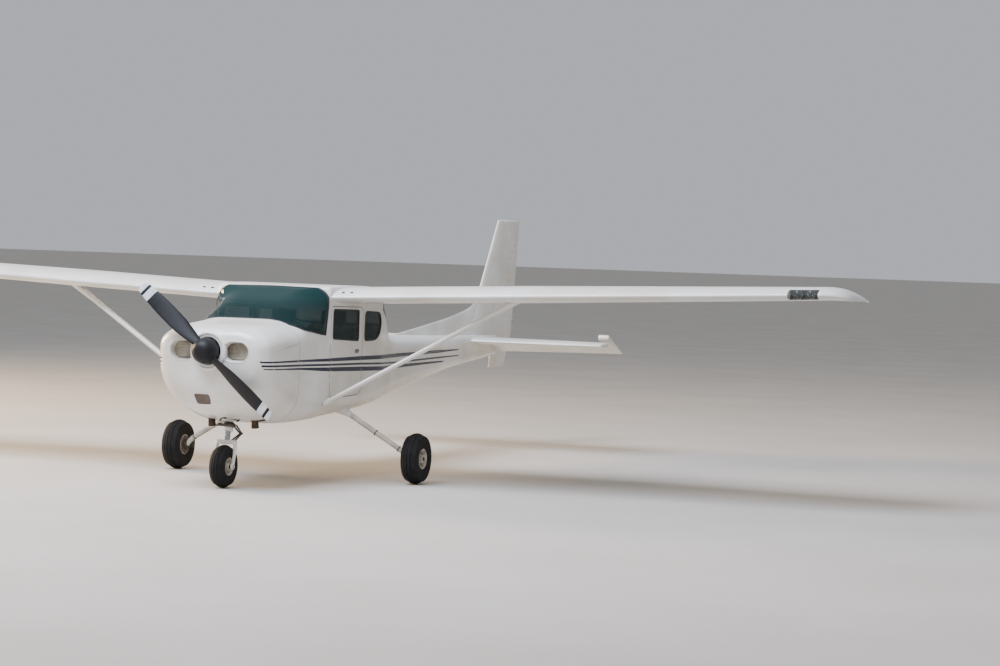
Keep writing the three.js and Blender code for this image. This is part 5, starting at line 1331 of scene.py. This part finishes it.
leg_root, leg_knee, leg_end = at(0.330, 1.090, 0.690), at(1.000, 1.116, 0.292), at(1.062, 1.120, AXLE_HEIGHT)
direction = (leg_knee - leg_root) / np.linalg.norm(leg_knee - leg_root)
leg_path = curve([leg_root, leg_root + direction * 0.35, leg_knee - direction * 0.05,
                  leg_knee + (0.026, 0.001, -0.026), leg_end], 10)
leg_radii = np.interp(np.linspace(0, 1, len(leg_path)), (0, 0.6, 1), (0.025, 0.021, 0.019))
leg = tube(leg_path, leg_radii, 20)
cuff_spots = leg_root + direction * np.array((0.05, 0.10, 0.15, 0.20, 0.235, 0.245))[:, None]
cuff = tube(cuff_spots, (0.088, 0.080, 0.062, 0.042, 0.031, 0.022), 28, flat=0.75)
line_path = leg_path[8:-3] + (0.0, 0.018, -0.021)
brake_line = tube(curve(np.concatenate([line_path[::4], [leg_end + (-0.03, 0.035, 0.02)]]), 4), 0.0038, 8)
clips = [tube([leg_path[k] - direction * 0.004, leg_path[k] + direction * 0.004], 0.0252, 16, flat=1.1)
         for k in (14, 22)]
build("gear_legs", both([leg]), [gear_paint], "airframe", "gear_steel")
build("gear_cuffs", both([cuff]), [white_paint], "airframe", "white_paint")
build("brake_lines", both([brake_line] + clips), [oily_steel], "airframe", "gear_steel")

# Brakes: a plain steel disc turning with each main wheel, and a caliper with two cylinders bolted to the axle
# flange behind it.
DISC_STEEL = "#77736c"
RIM_FACE = HALF_TRACK - 0.066
disc_steel = finish("steel_disc_scoured", (DISC_STEEL, "#5c4f44"), 0.4, 24.0, (0.3, 0.55), 0.0003, 260.0,
                    Metallic=0.85, Anisotropic=0.4)
axle_profile = [(0.0, -0.026), (0.048, -0.026), (0.050, -0.024), (0.050, -0.006), (0.048, -0.004),
                (0.018, -0.004), (0.0158, 0.0), (0.0158, 0.138), (0.0125, 0.141), (0.0, 0.141)]
flange = at(RIM_FACE, MAIN_STATION, AXLE_HEIGHT)
axle = lathe(axle_profile, flange, "x", 28)
caliper = block(flange + (-0.038, 0.052, -0.032), flange + (-0.008, 0.094, 0.036), 0.010, 0.004, "x")
cylinders = [tube([flange + (x, 0.073, step) for x in (-0.052, -0.030)], (0.013, 0.014), 16)
             for step in (-0.016, 0.018)]
bracket = block(flange + (-0.024, 0, -0.022), flange + (-0.014, 0.066, 0.024), 0.006, 0.002, "x")
pair("{}_axle_and_caliper", [axle, caliper, bracket, *cylinders], [oily_steel], "airframe", "gear_steel",
     ["{}_gear_leg"])

# Wheels: cast aluminium rims in two bolted halves, painted pale grey, with a hub cap over a bearing, and
# ribbed rubber tyres with a flat belt of straight grooves. Dark discs in each rim's web are painted shade
# that stands for lightening holes.
RIM_GREY = "#c4bdae"
TYRE_BLACK = "#101011"
TYRE_DUST = "#22201e"
cast_wheel = finish("cast_aluminium_painted", (RIM_GREY, "#8c8375"), 0.5, 26.0, (0.42, 0.7), 0.0006, 130.0,
                    Coat_Weight=0.15, IOR=1.5)
tyre_rubber = finish("vulcanised_rubber_dusty", (TYRE_BLACK, TYRE_DUST), 0.85, 14.0, (0.75, 0.95), 0.0008,
                     200.0, Specular_IOR_Level=0.3)
BOLT_HEAD = ((0.0, 0.008), (0.0042, 0.008), (0.0048, 0.006), (0.0048, -0.004))
# Dark discs set in each rim's web between the bolts: painted shade that stands for lightening holes, which
# are not cut.
PAINTED_SHADE_HOLE = ((0.0, 0.0), (0.0105, 0.0), (0.0125, 0.0015), (0.0135, -0.004))
BRAKE_DISC = ((0.052, 0.0), (0.0785, 0.0), (0.080, 0.0012), (0.080, 0.0058), (0.0785, 0.007), (0.052, 0.007),
              (0.052, 0.0))
wheels = {
    "main": dict(radius=0.222, half=0.071, bead=0.080, rim_half=0.064, holes=6),
    "nose": dict(radius=0.1804, half=0.060, bead=0.066, rim_half=0.054, holes=5),
}


def tyre_section(radius, half, bead, rim_half):
    """Half of a tyre's section: a slightly crowned tread with three grooves, a rounded shoulder and a side
    wall that bulges as an ellipse between the shoulder and the bead."""
    tread = []
    belt = half * 0.62

    def crown(x):
        """The tread's radius at a distance from the wheel's middle."""
        return radius - 0.016 * (x / belt) ** 2

    for middle in np.array((-0.66, 0.0, 0.66)) * belt:
        for x, deep in ((-0.0040, 0), (-0.0028, 0.006), (0.0028, 0.006), (0.0040, 0)):
            tread.append((crown(middle + x) - deep, middle + x))
    right = [(crown(belt * k), belt * k) for k in (0.85, 1.0)]
    turn = np.linspace(0.25, math.pi / 2, 8)
    middle_radius, edge = (radius + bead) / 2, radius - 0.024
    shoulder = [(edge - (edge - middle_radius) * t, half * s)
                for t, s in zip((1 - np.cos(turn)), np.sin(turn) * 0.06 + 0.94)]
    wall = np.linspace(0, 1, 10)
    lower = [(middle_radius + (bead - middle_radius) * t, half - (half - rim_half + 0.006) * t ** 2.2)
             for t in wall[1:]]
    side = right + shoulder + lower
    other = [(r, -x) for r, x in reversed(side)]
    return other + tread + side + [(bead - 0.001, 0.0)]


def rim_parts(centre, bead, rim_half, holes):
    """One wheel: the two rim flanges with a dished web, a hub with its cap, and a ring of bolts."""
    outer = bead - 0.0005
    profile = [(outer - 0.004, 0.0), (outer, 0.012), (outer, rim_half - 0.010),
               (outer + 0.009, rim_half - 0.003), (outer + 0.010, rim_half + 0.001),
               (outer + 0.007, rim_half + 0.003), (outer - 0.003, rim_half - 0.002),
               (outer - 0.009, rim_half - 0.012), (outer - 0.013, rim_half - 0.040),
               (0.043, rim_half - 0.044), (0.038, rim_half - 0.034), (0.036, rim_half - 0.004),
               (0.0345, rim_half + 0.002), (0.030, rim_half + 0.004), (0.0172, rim_half + 0.004),
               (0.0172, 0.0)]
    parts = [lathe(profile + [(r, -a) for r, a in reversed(profile)][1:], centre, "x", 48)]
    ring = 0.5 * (0.046 + outer - 0.015) + 0.002
    for sign in (1, -1):
        level = sign * (rim_half - 0.042)
        for k in range(2 * holes):
            angle = math.pi * (k + 1) / holes
            # Bolt heads and dark discs alternate round the web. The discs are painted shade in place of
            # lightening holes.
            profile, sides, number = (BOLT_HEAD, 6, 1) if k % 2 == 0 else (PAINTED_SHADE_HOLE, 18, 3)
            spot = centre + (0, ring * math.cos(angle), ring * math.sin(angle))
            parts.append(numbered(lathe([(r, level + sign * a) for r, a in profile], spot, "x", sides),
                                  number))
    return parts


for name, spin, kind, x, station, height in (
        ("left_main", "left_wheel", "main", HALF_TRACK, MAIN_STATION, AXLE_HEIGHT),
        ("right_main", "right_wheel", "main", -HALF_TRACK, MAIN_STATION, AXLE_HEIGHT),
        ("nose", "nose_wheel", "nose", 0.0, NOSE_STATION_AXLE, NOSE_AXLE_HEIGHT)):
    size, centre = wheels[kind], at(x, station, height)
    section = tyre_section(size["radius"], size["half"], size["bead"], size["rim_half"])
    tyre = lathe(section + section[:1], centre, "x", 96)
    build(f"{name}_tyre_carcass", [tyre], [tyre_rubber], spin, "tyre_rubber", [f"{name}_tyre"], sharp=50)
    rims = rim_parts(centre, size["bead"], size["rim_half"], size["holes"])
    if kind == "main":
        sign = math.copysign(1, x)
        inner = centre - (sign * (size["rim_half"] + 0.003), 0, 0)
        rims.append(numbered(lathe([(r, -sign * a) for r, a in BRAKE_DISC], inner, "x", 48), 2))
    build(f"{name}_wheel_casting", rims, [cast_wheel, dull_chrome, disc_steel, wire_mesh_and_painted_shade], spin, "wheel_grey",
          [f"{spin}_rim"], sharp=30)

# Nose gear: an oil and air strut. Its upper cylinder is held to the firewall; below it a chromed piston, a
# steering collar with two push rods, a pair of scissor links and a white fork turn with the wheel.
NOSE_FOOT, NOSE_RAKE, COLLAR_HEIGHT = -0.370, 0.26, 0.470
UPPER_TOP = 0.745
CHROME_BRIGHT = "#c9c9c6"
hard_chrome = finish("hard_chrome_ground", (CHROME_BRIGHT, "#a5a5a2"), 0.12, 30.0, (0.08, 0.22), 0.0001,
                     400.0, Metallic=1.0)
steer = np.array((0, NOSE_RAKE, 1.0)) / math.hypot(NOSE_RAKE, 1.0)


def strut_line(z):
    """The strut's middle line at a height."""
    return at(0.0, NOSE_FOOT + NOSE_RAKE * z, z)


def up(length):
    """A point of the strut's middle line at a length above the collar."""
    return collar + steer * length


collar = strut_line(COLLAR_HEIGHT)
upper = tube([up(0.0), up(0.004), up(0.024), up(0.028), up(0.032), strut_line(UPPER_TOP)],
             (0.036, 0.0385, 0.0385, 0.037, 0.034, 0.034), 32)
mount = block(at(-0.058, -0.185, 0.652), at(0.058, -0.001, 0.728), 0.012, 0.004, "y")
rings = [tube([up(h), up(h + 0.012)], 0.0375, 32) for h in (0.14, 0.215)]
build("nose_strut_cylinder", [upper, mount] + rings, [white_paint], "airframe", "gear_steel", ["nose_strut"])
piston = tube([up(-0.001), up(-0.09)], 0.0235, 32)
build("nose_strut_piston", [piston], [hard_chrome], "nose_fork", "gear_steel")
crown_centre = up(-0.095)
crown_outline = np.array([(-0.092, -0.026), (0.092, -0.026), (0.092, 0.026), (-0.092, 0.026)])
crown = slab(rounded(crown_outline, 0.03, 6) + (0, crown_centre[1]), "z", crown_centre[2] - 0.014,
             crown_centre[2] + 0.020, 0.007, 4)
arms = []
for sign in (1, -1):
    foot = at(sign * 0.084, NOSE_STATION_AXLE, NOSE_AXLE_HEIGHT)
    head = crown_centre + (sign * 0.080, 0, 0.006)
    arms.append(tube(curve([head, head + (foot - head) * 0.4 + (sign * 0.006, -0.004, 0), foot], 8),
                     np.linspace(0.0165, 0.0135, 17), 16, flat=0.72))
    arms.append(lathe([(0.0, -0.010), (0.023, -0.010), (0.025, -0.006), (0.025, 0.006), (0.023, 0.009),
                       (0.010, 0.010), (0.010, 0.016), (0.0, 0.016)], foot, "x", 20))
build("nose_fork_casting", [crown] + arms, [white_paint], "nose_fork", "gear_steel", ["nose_fork"])
nose_axle = tube([at(x, NOSE_STATION_AXLE, NOSE_AXLE_HEIGHT) for x in (-0.096, 0.096)], 0.0155, 20)
bar_middle = up(0.055)
steer_bar = block(bar_middle - (0.082, 0.052, 0.013), bar_middle + (0.082, -0.040, 0.013), 0.006, 0.003, "x")
steer_ring = tube([up(0.034), up(0.036), up(0.072), up(0.074)], (0.040, 0.044, 0.044, 0.040), 28)
links = []
apex = up(-0.020) + (0.088, 0.066, 0.0)
for start in (up(0.052) + (0.036, 0.030, 0.0), crown_centre + (0.040, 0.022, 0.006)):
    for spread in (-0.016, 0.016):
        links.append(tube([start + (spread, 0, 0), apex + (spread * 0.5, 0, 0)], (0.0085, 0.0065), 10))
links.append(tube([apex - (0.016, 0, 0), apex + (0.016, 0, 0)], 0.009, 14))
build("nose_steering_links", [nose_axle, steer_bar, steer_ring] + links, [oily_steel], "nose_fork",
      "gear_steel")
rods = [tube([bar_middle + (sign * 0.080, -0.018, 0.030), at(sign * 0.10, -0.06, 0.625)], 0.0065, 12)
        for sign in (1, -1)]
build("steering_push_rods", rods, [oily_steel], "airframe", "gear_steel")

# Propeller: one forging with two twisted blades, painted matt charcoal, with a pale and a dark band for
# visibility at each tip, under a dark spun aluminium dome.
BLADE_CHARCOAL = "#141518"
BAND_WHITE = "#d9dde0"
PROP_ANGLE = math.radians(49.3)
BLADE_ROWS = MM * np.array([
    (40, 84, 60), (110, 92, 44), (200, 118, 30), (340, 142, 22), (500, 140, 17),
    (660, 124, 13), (745, 106, 10), (776, 92, 8), (787, 62, 6), (790, 30, 3),
])
BLADE_PITCH = ((0.040, 62), (0.110, 52), (0.200, 42), (0.340, 33), (0.500, 26), (0.660, 21), (0.790, 17))
BANDS = ((0.660, 0.722, 1), (0.722, 0.748, 0), (0.748, 0.790, 1))
SPINNER_ROWS = ((0.104, 0.040), (0.106, 0.036), (0.108, 0.020), (0.108, 0.0), (0.106, -0.022),
                (0.102, -0.042), (0.094, -0.066), (0.084, -0.084), (0.070, -0.100), (0.054, -0.111),
                (0.036, -0.117), (0.018, -0.1195), (0.0, -0.120))
BACK_PLATE = ((0.061, 0.0405), (0.104, 0.0405), (0.1045, 0.0365), (0.061, 0.0365), (0.061, 0.0405))
SCREW_COUNT, SCREW_CIRCLE = 10, 0.1078
prop_paint = finish("matt_enamel_charcoal", (BLADE_CHARCOAL, "#1d1d1e"), 0.5, 12.0, (0.42, 0.6), 0.0004,
                    140.0, Specular_IOR_Level=0.25)
band_paint = finish("matt_enamel_pale", (BAND_WHITE, "#b9bdbf"), 0.45, 20.0, (0.4, 0.55), 0.0003, 140.0,
                    IOR=1.5)


def blade_ring(r, steps=24):
    """A blade's section at a radius: a cambered lens, flat behind and bulged ahead, turned by its pitch."""
    chord, thickness = [float(smooth(r, BLADE_ROWS[:, 0], BLADE_ROWS[:, k])) for k in (1, 2)]
    pitch = math.radians(float(smooth(r, *np.array(BLADE_PITCH).T)))
    turn = np.linspace(0, 2 * math.pi, steps, endpoint=False)
    along = chord / 2 * np.cos(turn)
    off = thickness * np.where(np.sin(turn) < 0, 0.62, 0.34) * np.sin(turn) * (1 + 0.25 * np.cos(turn))
    x = along * math.cos(pitch) - off * math.sin(pitch)
    y = along * math.sin(pitch) + off * math.cos(pitch)
    return np.stack([x, y, np.full(steps, r)], -1)


def in_rest(points):
    """Points about the shaft, turned to where the propeller stopped and moved to the shaft's place."""
    cos, sin = math.cos(PROP_ANGLE), math.sin(PROP_ANGLE)
    turn = np.array([(cos, 0, -sin), (0, 1, 0), (sin, 0, cos)])
    return np.asarray(points) @ turn.T + (0, FIREWALL + PROP_STATION, SHAFT[2])


radii = np.unique(np.concatenate([np.linspace(0.04, 0.74, 36), np.linspace(0.74, 0.79, 12),
                                  [b[0] for b in BANDS]]))
blade_points, blade_faces, _ = net([blade_ring(r) for r in radii], caps=(0, -1))
face_radius = np.array([np.mean([blade_points[i][2] for i in face]) for face in blade_faces])
blade_number = np.zeros(len(blade_faces), int)
for low, high, number in BANDS:
    blade_number[(face_radius > low) & (face_radius <= high)] = number
other_blade = np.asarray(blade_points) * (-1, 1, -1)
hub = lathe([(0.0, -0.038), (0.056, -0.038), (0.059, -0.034), (0.059, 0.038), (0.056, 0.044), (0.0, 0.044)],
            (0, 0, 0), "y", 40)
build("propeller_blades", [(in_rest(blade_points), blade_faces, blade_number),
                           (in_rest(other_blade), blade_faces, blade_number), (in_rest(hub[0]), hub[1], 0)],
      [prop_paint, band_paint], "propeller", "blade_black", ["propeller"])
hub_place = at(0, PROP_STATION, SHAFT[2])
dome = lathe(SPINNER_ROWS, hub_place, "y", 64)
back_plate = lathe(BACK_PLATE, hub_place, "y", 64)
screws = []
for k in range(SCREW_COUNT):
    angle = 2 * math.pi * (k + 0.5) / SCREW_COUNT
    spot = hub_place + (SCREW_CIRCLE * math.cos(angle), 0.026, SCREW_CIRCLE * math.sin(angle))
    screws.append(lathe([(0.0, -0.0045), (0.0035, -0.003), (0.0045, 0.0), (0.0035, 0.003), (0.0, 0.0045)],
                        spot, "y", 10))
build("spinner_dome", [dome, back_plate], [prop_paint], "propeller", "blade_black", ["spinner"])
build("spinner_screws", screws, [dull_chrome], "propeller", "blade_black")

# Seats: foam cushions in a sewn woven cover, on a welded tube frame that slides on two floor rails. The
# covers are blown up by a cloth simulation, and their sewn channels are then pulled in.
CLOTH_GREY = "#3a3838"
CLOTH_WORN = "#4a4745"
SEAT_X = (0.034, 0.446)
CUSHION = MM * np.array([(772, 812), (1195, 796), (1192, 858), (772, 890)])
BACK = MM * np.array([(1157, 842), (1216, 800), (1318, 1296), (1268, 1318)])
HEADREST = MM * np.array([(1272, 1345), (1336, 1332), (1362, 1468), (1306, 1480)])
VOXEL, CLOTH_FRAMES, CLOTH_PRESSURE = 0.006, 20, 4.0
seat_cloth = finish("woven_polyester_grey", (CLOTH_GREY, CLOTH_WORN), 0.9, 30.0, (0.85, 0.95), 0.0008, 320.0,
                    Sheen_Weight=0.3, IOR=1.45)


def mesh_of(name, part):
    """A working object made of one part."""
    mesh = bpy.data.meshes.new(name)
    mesh.from_pydata(np.asarray(part[0]).tolist(), [], part[1])
    made = bpy.data.objects.new(name, mesh)
    bpy.context.scene.collection.objects.link(made)
    return made


def seen(shape):
    """The points and faces of an object with its modifiers in effect."""
    graph = bpy.context.evaluated_depsgraph_get()
    mesh = shape.evaluated_get(graph).to_mesh()
    points = np.empty(len(mesh.vertices) * 3)
    mesh.vertices.foreach_get("co", points)
    return points.reshape(-1, 3), [list(face.vertices) for face in mesh.polygons]


def stuffed(name, part, cap, channels, deep=0.006, wide=0.010):
    """A stuffed cover: the part remeshed to even cells, blown up by cloth pressure for 20 frames with no
    point moving further than a cap, and then pulled in by a bell curve along channels at constant x."""
    shape = mesh_of(name, part)
    remesh = shape.modifiers.new("cells", "REMESH")
    remesh.mode, remesh.voxel_size = "VOXEL", VOXEL
    points, faces = seen(shape)
    start = mesh_of(f"{name}_start", (points, faces))
    cloth = start.modifiers.new("cover", "CLOTH")
    cloth.settings.use_pressure = True
    cloth.settings.uniform_pressure_force = CLOTH_PRESSURE
    cloth.settings.effector_weights.gravity = 0.0
    for number in range(1, CLOTH_FRAMES + 1):
        bpy.context.scene.frame_set(number)
    blown, _ = seen(start)
    bpy.context.scene.frame_set(1)
    moved = blown - points
    far = np.linalg.norm(moved, axis=1)[:, None]
    points = points + moved * np.minimum(1, cap / np.maximum(far, 1e-9))
    bpy.data.objects.remove(start)
    bpy.data.objects.remove(shape)
    middle = points.mean(0)
    towards = points * (1, 0, 0) + middle * (0, 1, 1) - points
    towards /= np.maximum(np.linalg.norm(towards, axis=1), 0.02)[:, None]
    dent = np.zeros(len(points))
    for x in channels:
        dent += np.exp(-((points[:, 0] - x) / wide) ** 2)
    return points + towards * (deep * dent)[:, None], faces, 0


def cover(outline, low, high, cap, channels):
    """One stuffed cushion from a side-view outline of stations and heights, between two distances."""
    side = rounded(outline + (FIREWALL, 0), 0.03, 4)
    return stuffed("cover", slab(side, "x", low, high, 0.022, 4), cap, channels)


seat_middle = sum(SEAT_X) / 2
channels = seat_middle + np.array((-0.105, -0.035, 0.035, 0.105))
covers = [("cushion", cover(CUSHION, *SEAT_X, 0.016, channels), 0.75),
          ("back", cover(BACK, *SEAT_X, 0.018, channels), 0.7),
          ("headrest", cover(HEADREST, seat_middle - 0.115, seat_middle + 0.115, 0.010, ()), 0.8)]
RAIL_X = (0.095, 0.385)
rails, tubes = [], []
for x in RAIL_X:
    rails.append(block(at(x - 0.012, 0.70, 0.604), at(x + 0.012, 1.36, 0.618), 0.003, 0.002, "y"))
    tubes.append(tube(curve([at(x, 0.84, 0.622), at(x, 0.82, 0.70), at(x, 0.84, 0.785), at(x, 1.00, 0.79),
                             at(x, 1.16, 0.775), at(x, 1.22, 0.69), at(x, 1.20, 0.622)], 5), 0.0115, 12))
    tubes.append(tube(curve([at(x, 1.17, 0.78), at(x, 1.235, 0.87), at(x, 1.325, 1.30)], 6), 0.011, 12))
posts = [tube([at(seat_middle + step, 1.293, 1.28), at(seat_middle + step, 1.324, 1.40)], 0.006, 10)
         for step in (-0.06, 0.06)]
crossbars = [tube([at(x, station, z) for x in RAIL_X], 0.010, 12)
             for station, z in ((0.822, 0.70), (1.2165, 0.70), (1.318, 1.27))]
pair("{}_seat_frame", tubes + posts + crossbars + rails, [oily_steel], "airframe", "gear_steel")
for name, part, fill in covers:
    stand_in = ["{}_seat"] if name == "cushion" else ()
    for pad in pair("{}_seat_" + name, [part], [seat_cloth], "airframe", "seat_cloth", stand_in, sharp=180):
        rounding = pad.modifiers.new("rounding", "SUBSURF")
        rounding.levels = rounding.render_levels = 1

# Instrument panel: a dark painted aluminium board behind a padded shelf, with round dials, a stack of boxes
# in the middle, two control wheels on sliding shafts and push-pull knobs below.
PANEL_BLACK = "#1b1b1d"
DIAL_FACE = "#0e0f11"
DIAL_MARK = "#d8d6cc"
BOARD = (0.330, 0.336)
BOARD_HEIGHTS = (1.010, 1.345)
RADIOS = ((1.262, 0.050), (1.208, 0.050), (1.122, 0.044))
YOKE_X, YOKE_HEIGHT = 0.24, 1.13
panel_paint = finish("wrinkle_enamel_black", (PANEL_BLACK, "#262629"), 0.6, 30.0, (0.5, 0.7), 0.0006, 300.0,
                     IOR=1.5)
padded_vinyl = finish("padded_vinyl_black", ("#202226", "#2b2d31"), 0.55, 12.0, (0.45, 0.65), 0.0006, 180.0,
                      IOR=1.5)
dial_face = new_material("printed_dial_black", DIAL_FACE, 0.35, Coat_Weight=0.5)[0]
dial_mark = new_material("printed_dial_white", DIAL_MARK, 0.5)[0]


def inner_half(station, height, clear=0.006):
    """The half width that the lined cabin leaves at a station and a height."""
    return float(body_skin(station, around_at(station, height), -WALL - clear)[0])


board_side = [(inner_half(sum(BOARD) / 2, z), z) for z in np.linspace(*BOARD_HEIGHTS, 12)]
board_outline = rounded(np.array(board_side + [(-x, z) for x, z in reversed(board_side)]), 0.02, 3)
board = slab(board_outline, "y", FIREWALL + BOARD[0], FIREWALL + BOARD[1], 0.001, 2)
shelf_rings = []
for station, top, thick in ((0.112, 1.362, 0.010), (0.118, 1.368, 0.016), (0.200, 1.374, 0.020),
                            (0.300, 1.376, 0.024), (0.362, 1.374, 0.030), (0.378, 1.368, 0.026),
                            (0.384, 1.360, 0.012)):
    half = inner_half(station, 1.375, 0.012)
    across = np.linspace(-half, half, 25)
    arch = 0.014 * (1 - (across / half) ** 2)
    upper = np.stack([across, np.full(25, FIREWALL + station), top + arch], -1)
    shelf_rings.append(np.concatenate([upper, (upper - (0, 0, thick))[::-1]]))
shelf = net(shelf_rings, caps=(0, -1))
face_y = FIREWALL + BOARD[1]
dials, marks = [], []


def dial(x, z, radius, hand):
    """A round instrument facing aft: a bezel, a face, twelve marks round it and a hand at an angle."""
    centre = np.array((x, face_y, z))
    dials.append(lathe([(radius, -0.001), (radius, 0.006), (radius - 0.003, 0.009), (radius - 0.007, 0.006),
                        (radius - 0.007, 0.003)], centre, "y", 28))
    dials.append(numbered(lathe([(radius - 0.006, 0.003), (0.0, 0.003)], centre, "y", 28), 1))
    strokes = [(math.pi * k / 6, 0.0035, radius - 0.015, radius - 0.009, 0.0009) for k in range(12)]
    strokes.append((hand, 0.004, -radius * 0.2, radius - 0.014, (0.0016, 0.0006)))
    for turn, ahead, start, end, width in strokes:
        way = np.array((math.cos(turn), 0, math.sin(turn)))
        marks.append(tube([centre + (0, ahead, 0) + way * reach for reach in (start, end)], width, 4))


for k, hand in enumerate((2.3, 1.5, 0.8, 4.0, 1.6, 2.9)):
    dial(0.335 - 0.095 * (k % 3), 1.272 - 0.095 * (k // 3), 0.041, hand)
for k, hand in enumerate((2.0, 1.0, 2.6, 0.6)):
    dial(-0.135 - 0.062 * (k % 2), 1.288 - 0.062 * (k // 2), 0.026, hand)
boxes = [block((-0.082, face_y - 0.001, z), (0.082, face_y + 0.010, z + height), 0.004, 0.002, "y")
         for z, height in (*RADIOS, (1.170, 0.034))]
screens = [numbered(block((-0.05, face_y + 0.009, z + 0.012), (0.05, face_y + 0.0108, z + height - 0.012),
                          0.002, 0.0005, "y"), 1) for z, height in RADIOS]
knob = [(0.0, 0.030), (0.007, 0.030), (0.0085, 0.027), (0.0085, 0.012), (0.006, 0.008), (0.006, -0.001)]
knobs = [lathe(knob, (x, face_y, z), "y", 14)
         for x, z in [(s * 0.067, z + 0.014) for s in (-1, 1) for z in (1.262, 1.208, 1.118)]
         + [(0.02 * k, 1.055) for k in range(-3, 4)]]
glove_box = block((-0.44, face_y - 0.001, 1.06), (-0.24, face_y + 0.005, 1.20), 0.010, 0.002, "y")
build("instrument_board", [board, glove_box] + boxes + knobs, [panel_paint], "airframe", "panel_black",
      ["instrument_panel"])
build("instrument_dials", dials + screens, [panel_paint, dial_face], "airframe", "panel_black")
build("instrument_marks", marks, [dial_mark], "airframe", "panel_black")
build("glare_shelf", [shelf], [padded_vinyl], "airframe", "panel_black")
yokes = []
horn_side = [(0.118, 0.085), (0.128, 0.045), (0.126, 0.0), (0.105, -0.020), (0.05, -0.006)]
horns = [(-a, b) for a, b in horn_side] + [(0.0, 0.0)] + horn_side[::-1]
horn_radii = np.interp(np.linspace(0, 1, 61), (0, 0.25, 0.35, 0.65, 0.75, 1),
                       (0.013, 0.0125, 0.009, 0.009, 0.0125, 0.013))
for x in (YOKE_X, -YOKE_X):
    yokes.append(tube([at(x, station, YOKE_HEIGHT) for station in (0.34, 0.545)], 0.0115, 18))
    yokes.append(lathe([(0.0, -0.002), (0.022, -0.002), (0.024, 0.002), (0.024, 0.014), (0.018, 0.022),
                        (0.0, 0.024)], at(x, 0.543, YOKE_HEIGHT), "y", 22))
    yokes.append(tube(curve([at(x + a, 0.555, YOKE_HEIGHT + b) for a, b in horns], 6), horn_radii, 14))
build("control_wheels", yokes, [padded_vinyl], "airframe", "panel_black")

# Cabin lining: a dark needle-felt carpet on the floor, a pale stretched headliner under the roof and a
# moulded box for the small overhead lamp behind the windshield.
carpet = finish("needle_felt_dark", ("#2f2d2b", "#3c3936"), 0.95, 40.0, (0.9, 1.0), 0.001, 260.0,
                Sheen_Weight=0.2)
headlining = finish("knitted_headliner_pale", ("#b9b6ac", "#a8a499"), 0.9, 10.0, (0.85, 0.95), 0.0005, 300.0,
                    Sheen_Weight=0.1)
floor_sheet = patch(strip(0.03, 2.16, KEEL, 1.9), lift=-WALL - 0.003, thickness=0.004, grid=COARSE_GRID)
liner = patch(strip(0.60, 1.76, 3.7, ROOF), lift=-WALL - 0.004, thickness=0.006, grid=COARSE_GRID)
build("floor_carpet", both([floor_sheet]), [carpet], "airframe", "seat_cloth")
build("headliner", both([liner]), [headlining], "airframe", "seat_cloth")
overhead = block(at(-0.075, 0.565, 1.565), at(0.075, 0.70, 1.655), 0.02, 0.008, "y")
build("overhead_console", [overhead], [padded_vinyl], "airframe", "panel_black")

# Studio: a plain pale floor under soft light from a large window-like source high on the left, with a
# weaker fill, and the camera at the height and angle of a person standing ahead of the left wing.
CAMERA_TURN = math.radians(24.4)
CAMERA_DISTANCE = 23.13
CAMERA_HEIGHT = 2.01
CAMERA_AIM = 1.0
CAMERA_PAN, CAMERA_PITCH, CAMERA_ROLL = (math.radians(value) for value in (4.5, -1.69, 1.92))
CAMERA_LENS = 94.54
camera_data = bpy.data.cameras.new("camera")
camera_data.sensor_width = 36.0
camera_data.lens = CAMERA_LENS
camera_data.clip_end = 1200.0
camera = bpy.data.objects.new("camera", camera_data)
bpy.context.scene.collection.objects.link(camera)
camera.location = (CAMERA_DISTANCE * math.sin(CAMERA_TURN), FIREWALL + CAMERA_AIM - CAMERA_DISTANCE
                   * math.cos(CAMERA_TURN), CAMERA_HEIGHT)
camera.rotation_mode = "XYZ"
yaw = CAMERA_PAN - CAMERA_TURN
ahead = Vector((math.sin(yaw) * math.cos(CAMERA_PITCH), math.cos(yaw) * math.cos(CAMERA_PITCH),
                math.sin(CAMERA_PITCH)))
level = Vector((math.cos(yaw), -math.sin(yaw), 0))
upright = level.cross(ahead)
right = level * math.cos(CAMERA_ROLL) + upright * math.sin(CAMERA_ROLL)
camera.rotation_euler = Matrix((right, right.cross(ahead), -ahead)).transposed().to_euler()
bpy.context.scene.camera = camera

FLOOR_SIZE = 900.0
floor_finish = finish("painted_screed_pale", ("#bdb7ae", "#b5afa6"), 0.75, 0.6, (0.7, 0.85), 0.0006, 20.0)
edge = FLOOR_SIZE / 2
floor_mesh = bpy.data.meshes.new("floor")
floor_mesh.from_pydata([(-edge, -edge, 0), (edge, -edge, 0), (edge, edge, 0), (-edge, edge, 0)], [],
                       [(0, 1, 2, 3)])
floor_mesh.materials.append(floor_finish)
floor = bpy.data.objects.new("floor", floor_mesh)
bpy.context.scene.collection.objects.link(floor)

world = bpy.data.worlds.new("studio")
world.use_nodes = True
backdrop = world.node_tree.nodes["Background"]
backdrop.inputs["Color"].default_value = tone("#e8ecf4")
backdrop.inputs["Strength"].default_value = 0.62
bpy.context.scene.world = world
LIGHTS = (
    ("key_light", (-17.0, 1.0, 6.5), 6.0, 6500.0, "#ffdcae"),
    ("top_light", (-2.0, -8.0, 13.0), 9.0, 5200.0, "#e4ecff"),
)
for name, place, size, power, colour in LIGHTS:
    lamp = bpy.data.lights.new(name, "AREA")
    lamp.size = size
    lamp.energy = power
    lamp.color = tone(colour)[:3]
    light = bpy.data.objects.new(name, lamp)
    light.location = place
    light.rotation_euler = (Vector((0, 0, 1)) - Vector(place)).to_track_quat("-Z", "Y").to_euler()
    bpy.context.scene.collection.objects.link(light)
